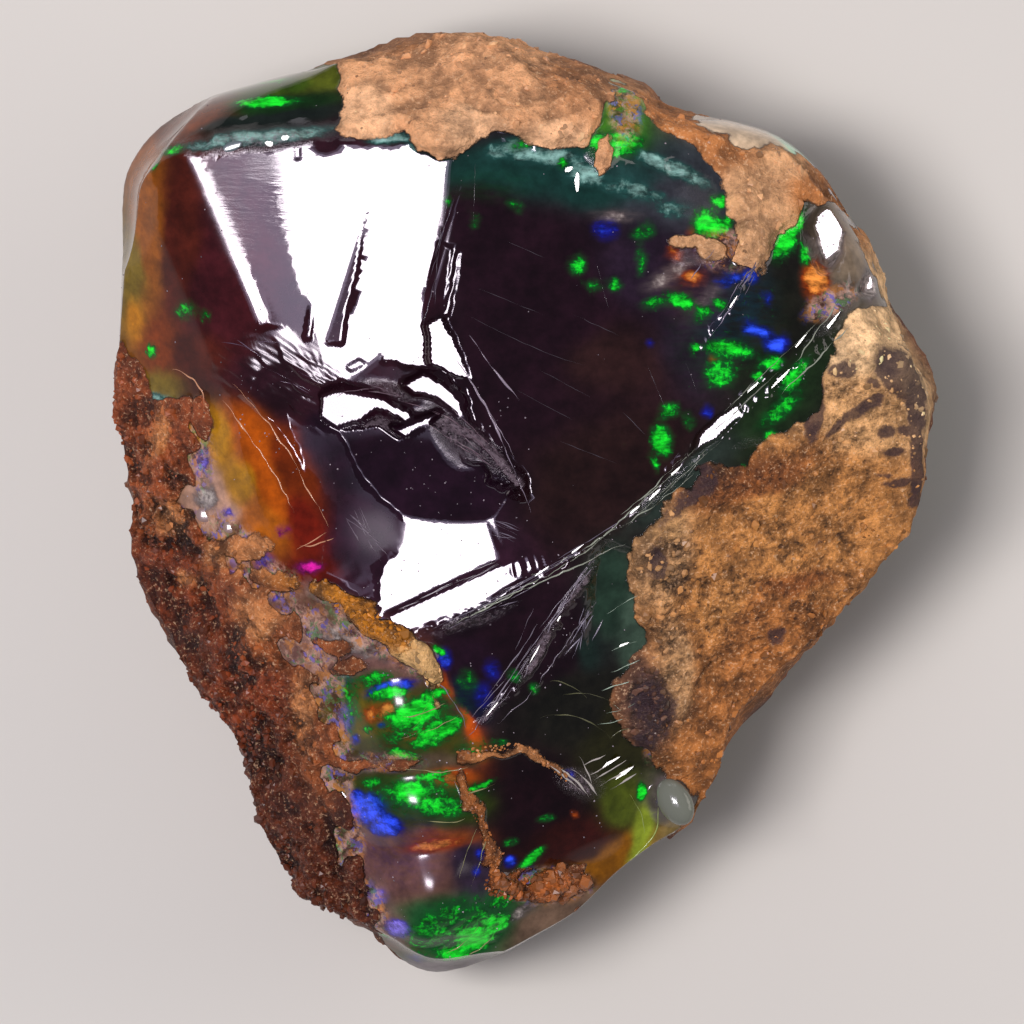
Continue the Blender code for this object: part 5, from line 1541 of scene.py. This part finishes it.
def readAttribute(collection, name, width):
    values = np.zeros(width * len(collection))
    collection.foreach_get(name, values)
    return values.reshape(-1, width) if width > 1 else values


def grainJob(kind, spot, facing, colour, size=1.0):
    (low, high), power, sink, shades, jitter = grainSet[kind]
    radius = size * (low + (high - low) * rng.uniform() ** power)
    sunk = rng.uniform(*sink) if sink else 0.0
    middle = Vector(spot - facing * radius * sunk)
    return middle, radius, np.clip(colour * rng.uniform(*shades), 0.0, grainSet["brightest"]), jitter


def makeGrains(stone):
    mesh = stone.data
    spots = readAttribute(mesh.vertices, "co", 3) / mm
    facings = readAttribute(mesh.vertex_normals, "vector", 3)
    data = mesh.attributes
    rockEdge, gloss = (readAttribute(data[name].data, "value", 1) for name in ("rockEdge", "rockGloss"))
    tints = readAttribute(data["rockTint"].data, "color", 4)[:, :3]
    plan, height = spots[:, :2], spots[:, 2]
    jobs = []
    onRock = np.flatnonzero((rockEdge > grainSet["insideRock"]) & (height > grainSet["sandAbove"]))
    weights = grainSet["plainShare"] + gloss[onRock]
    for n in rng.choice(onRock, grainSet["sandGrains"], p=weights / weights.sum()):
        jobs.append(grainJob("sand", spots[n], facings[n], tints[n]))

    # the veins and the crust at their lower end are chains of small beads
    inCrust = (spotDistance(plan, *grainSet["crust"]) < 1.0) & (rockEdge > 0.0)
    veins = [(inCrust, np.array(toLinear(grainSet["crustColour"])), grainSet["crustBeads"], 1.0)]
    base, growth = grainSet["beadShare"]
    for rise, halfWidth, route in ropes.values():
        near = routeDistance(plan, route) < grainSet["veinReach"] * halfWidth
        veins.append((near, None, int(grainSet["beadsPerWidth"] * halfWidth), base + growth * halfWidth))
    for chosen, colour, count, size in veins:
        for n in rng.choice(np.flatnonzero(chosen & (height > grainSet["sandAbove"])), count):
            shade = tints[n] if colour is None else colour
            jobs.append(grainJob("bead", spots[n], facings[n], shade, size))

    dust = np.array(toLinear(grainSet["moteColour"]))
    onGlass = np.flatnonzero((rockEdge < grainSet["outsideRock"]) & (height > grainSet["motesAbove"]))
    for n in rng.choice(onGlass, grainSet["motes"]):
        jobs.append(grainJob("mote", spots[n], facings[n], dust))

    bm, tint = tintedBmesh()
    addInBatches(bm, jobs)
    # sand grains, silica beads and dust stuck to the stone: dull, each of one colour
    material = tintedMaterial("sand grains and silica beads", grainSet["roughness"], grainSet["ior"])
    finishPiece(bm, "rock_grains", material)


print("camera, lights and floor")
makeCamera()
makeLights()
makeFloor()
print("stone")
stone = makeStone()
surface = surfaceOf(stone)
print("splinter edges, facets and grains")
makeThreads(surface)
makeChips(surface)
makeGrains(stone)
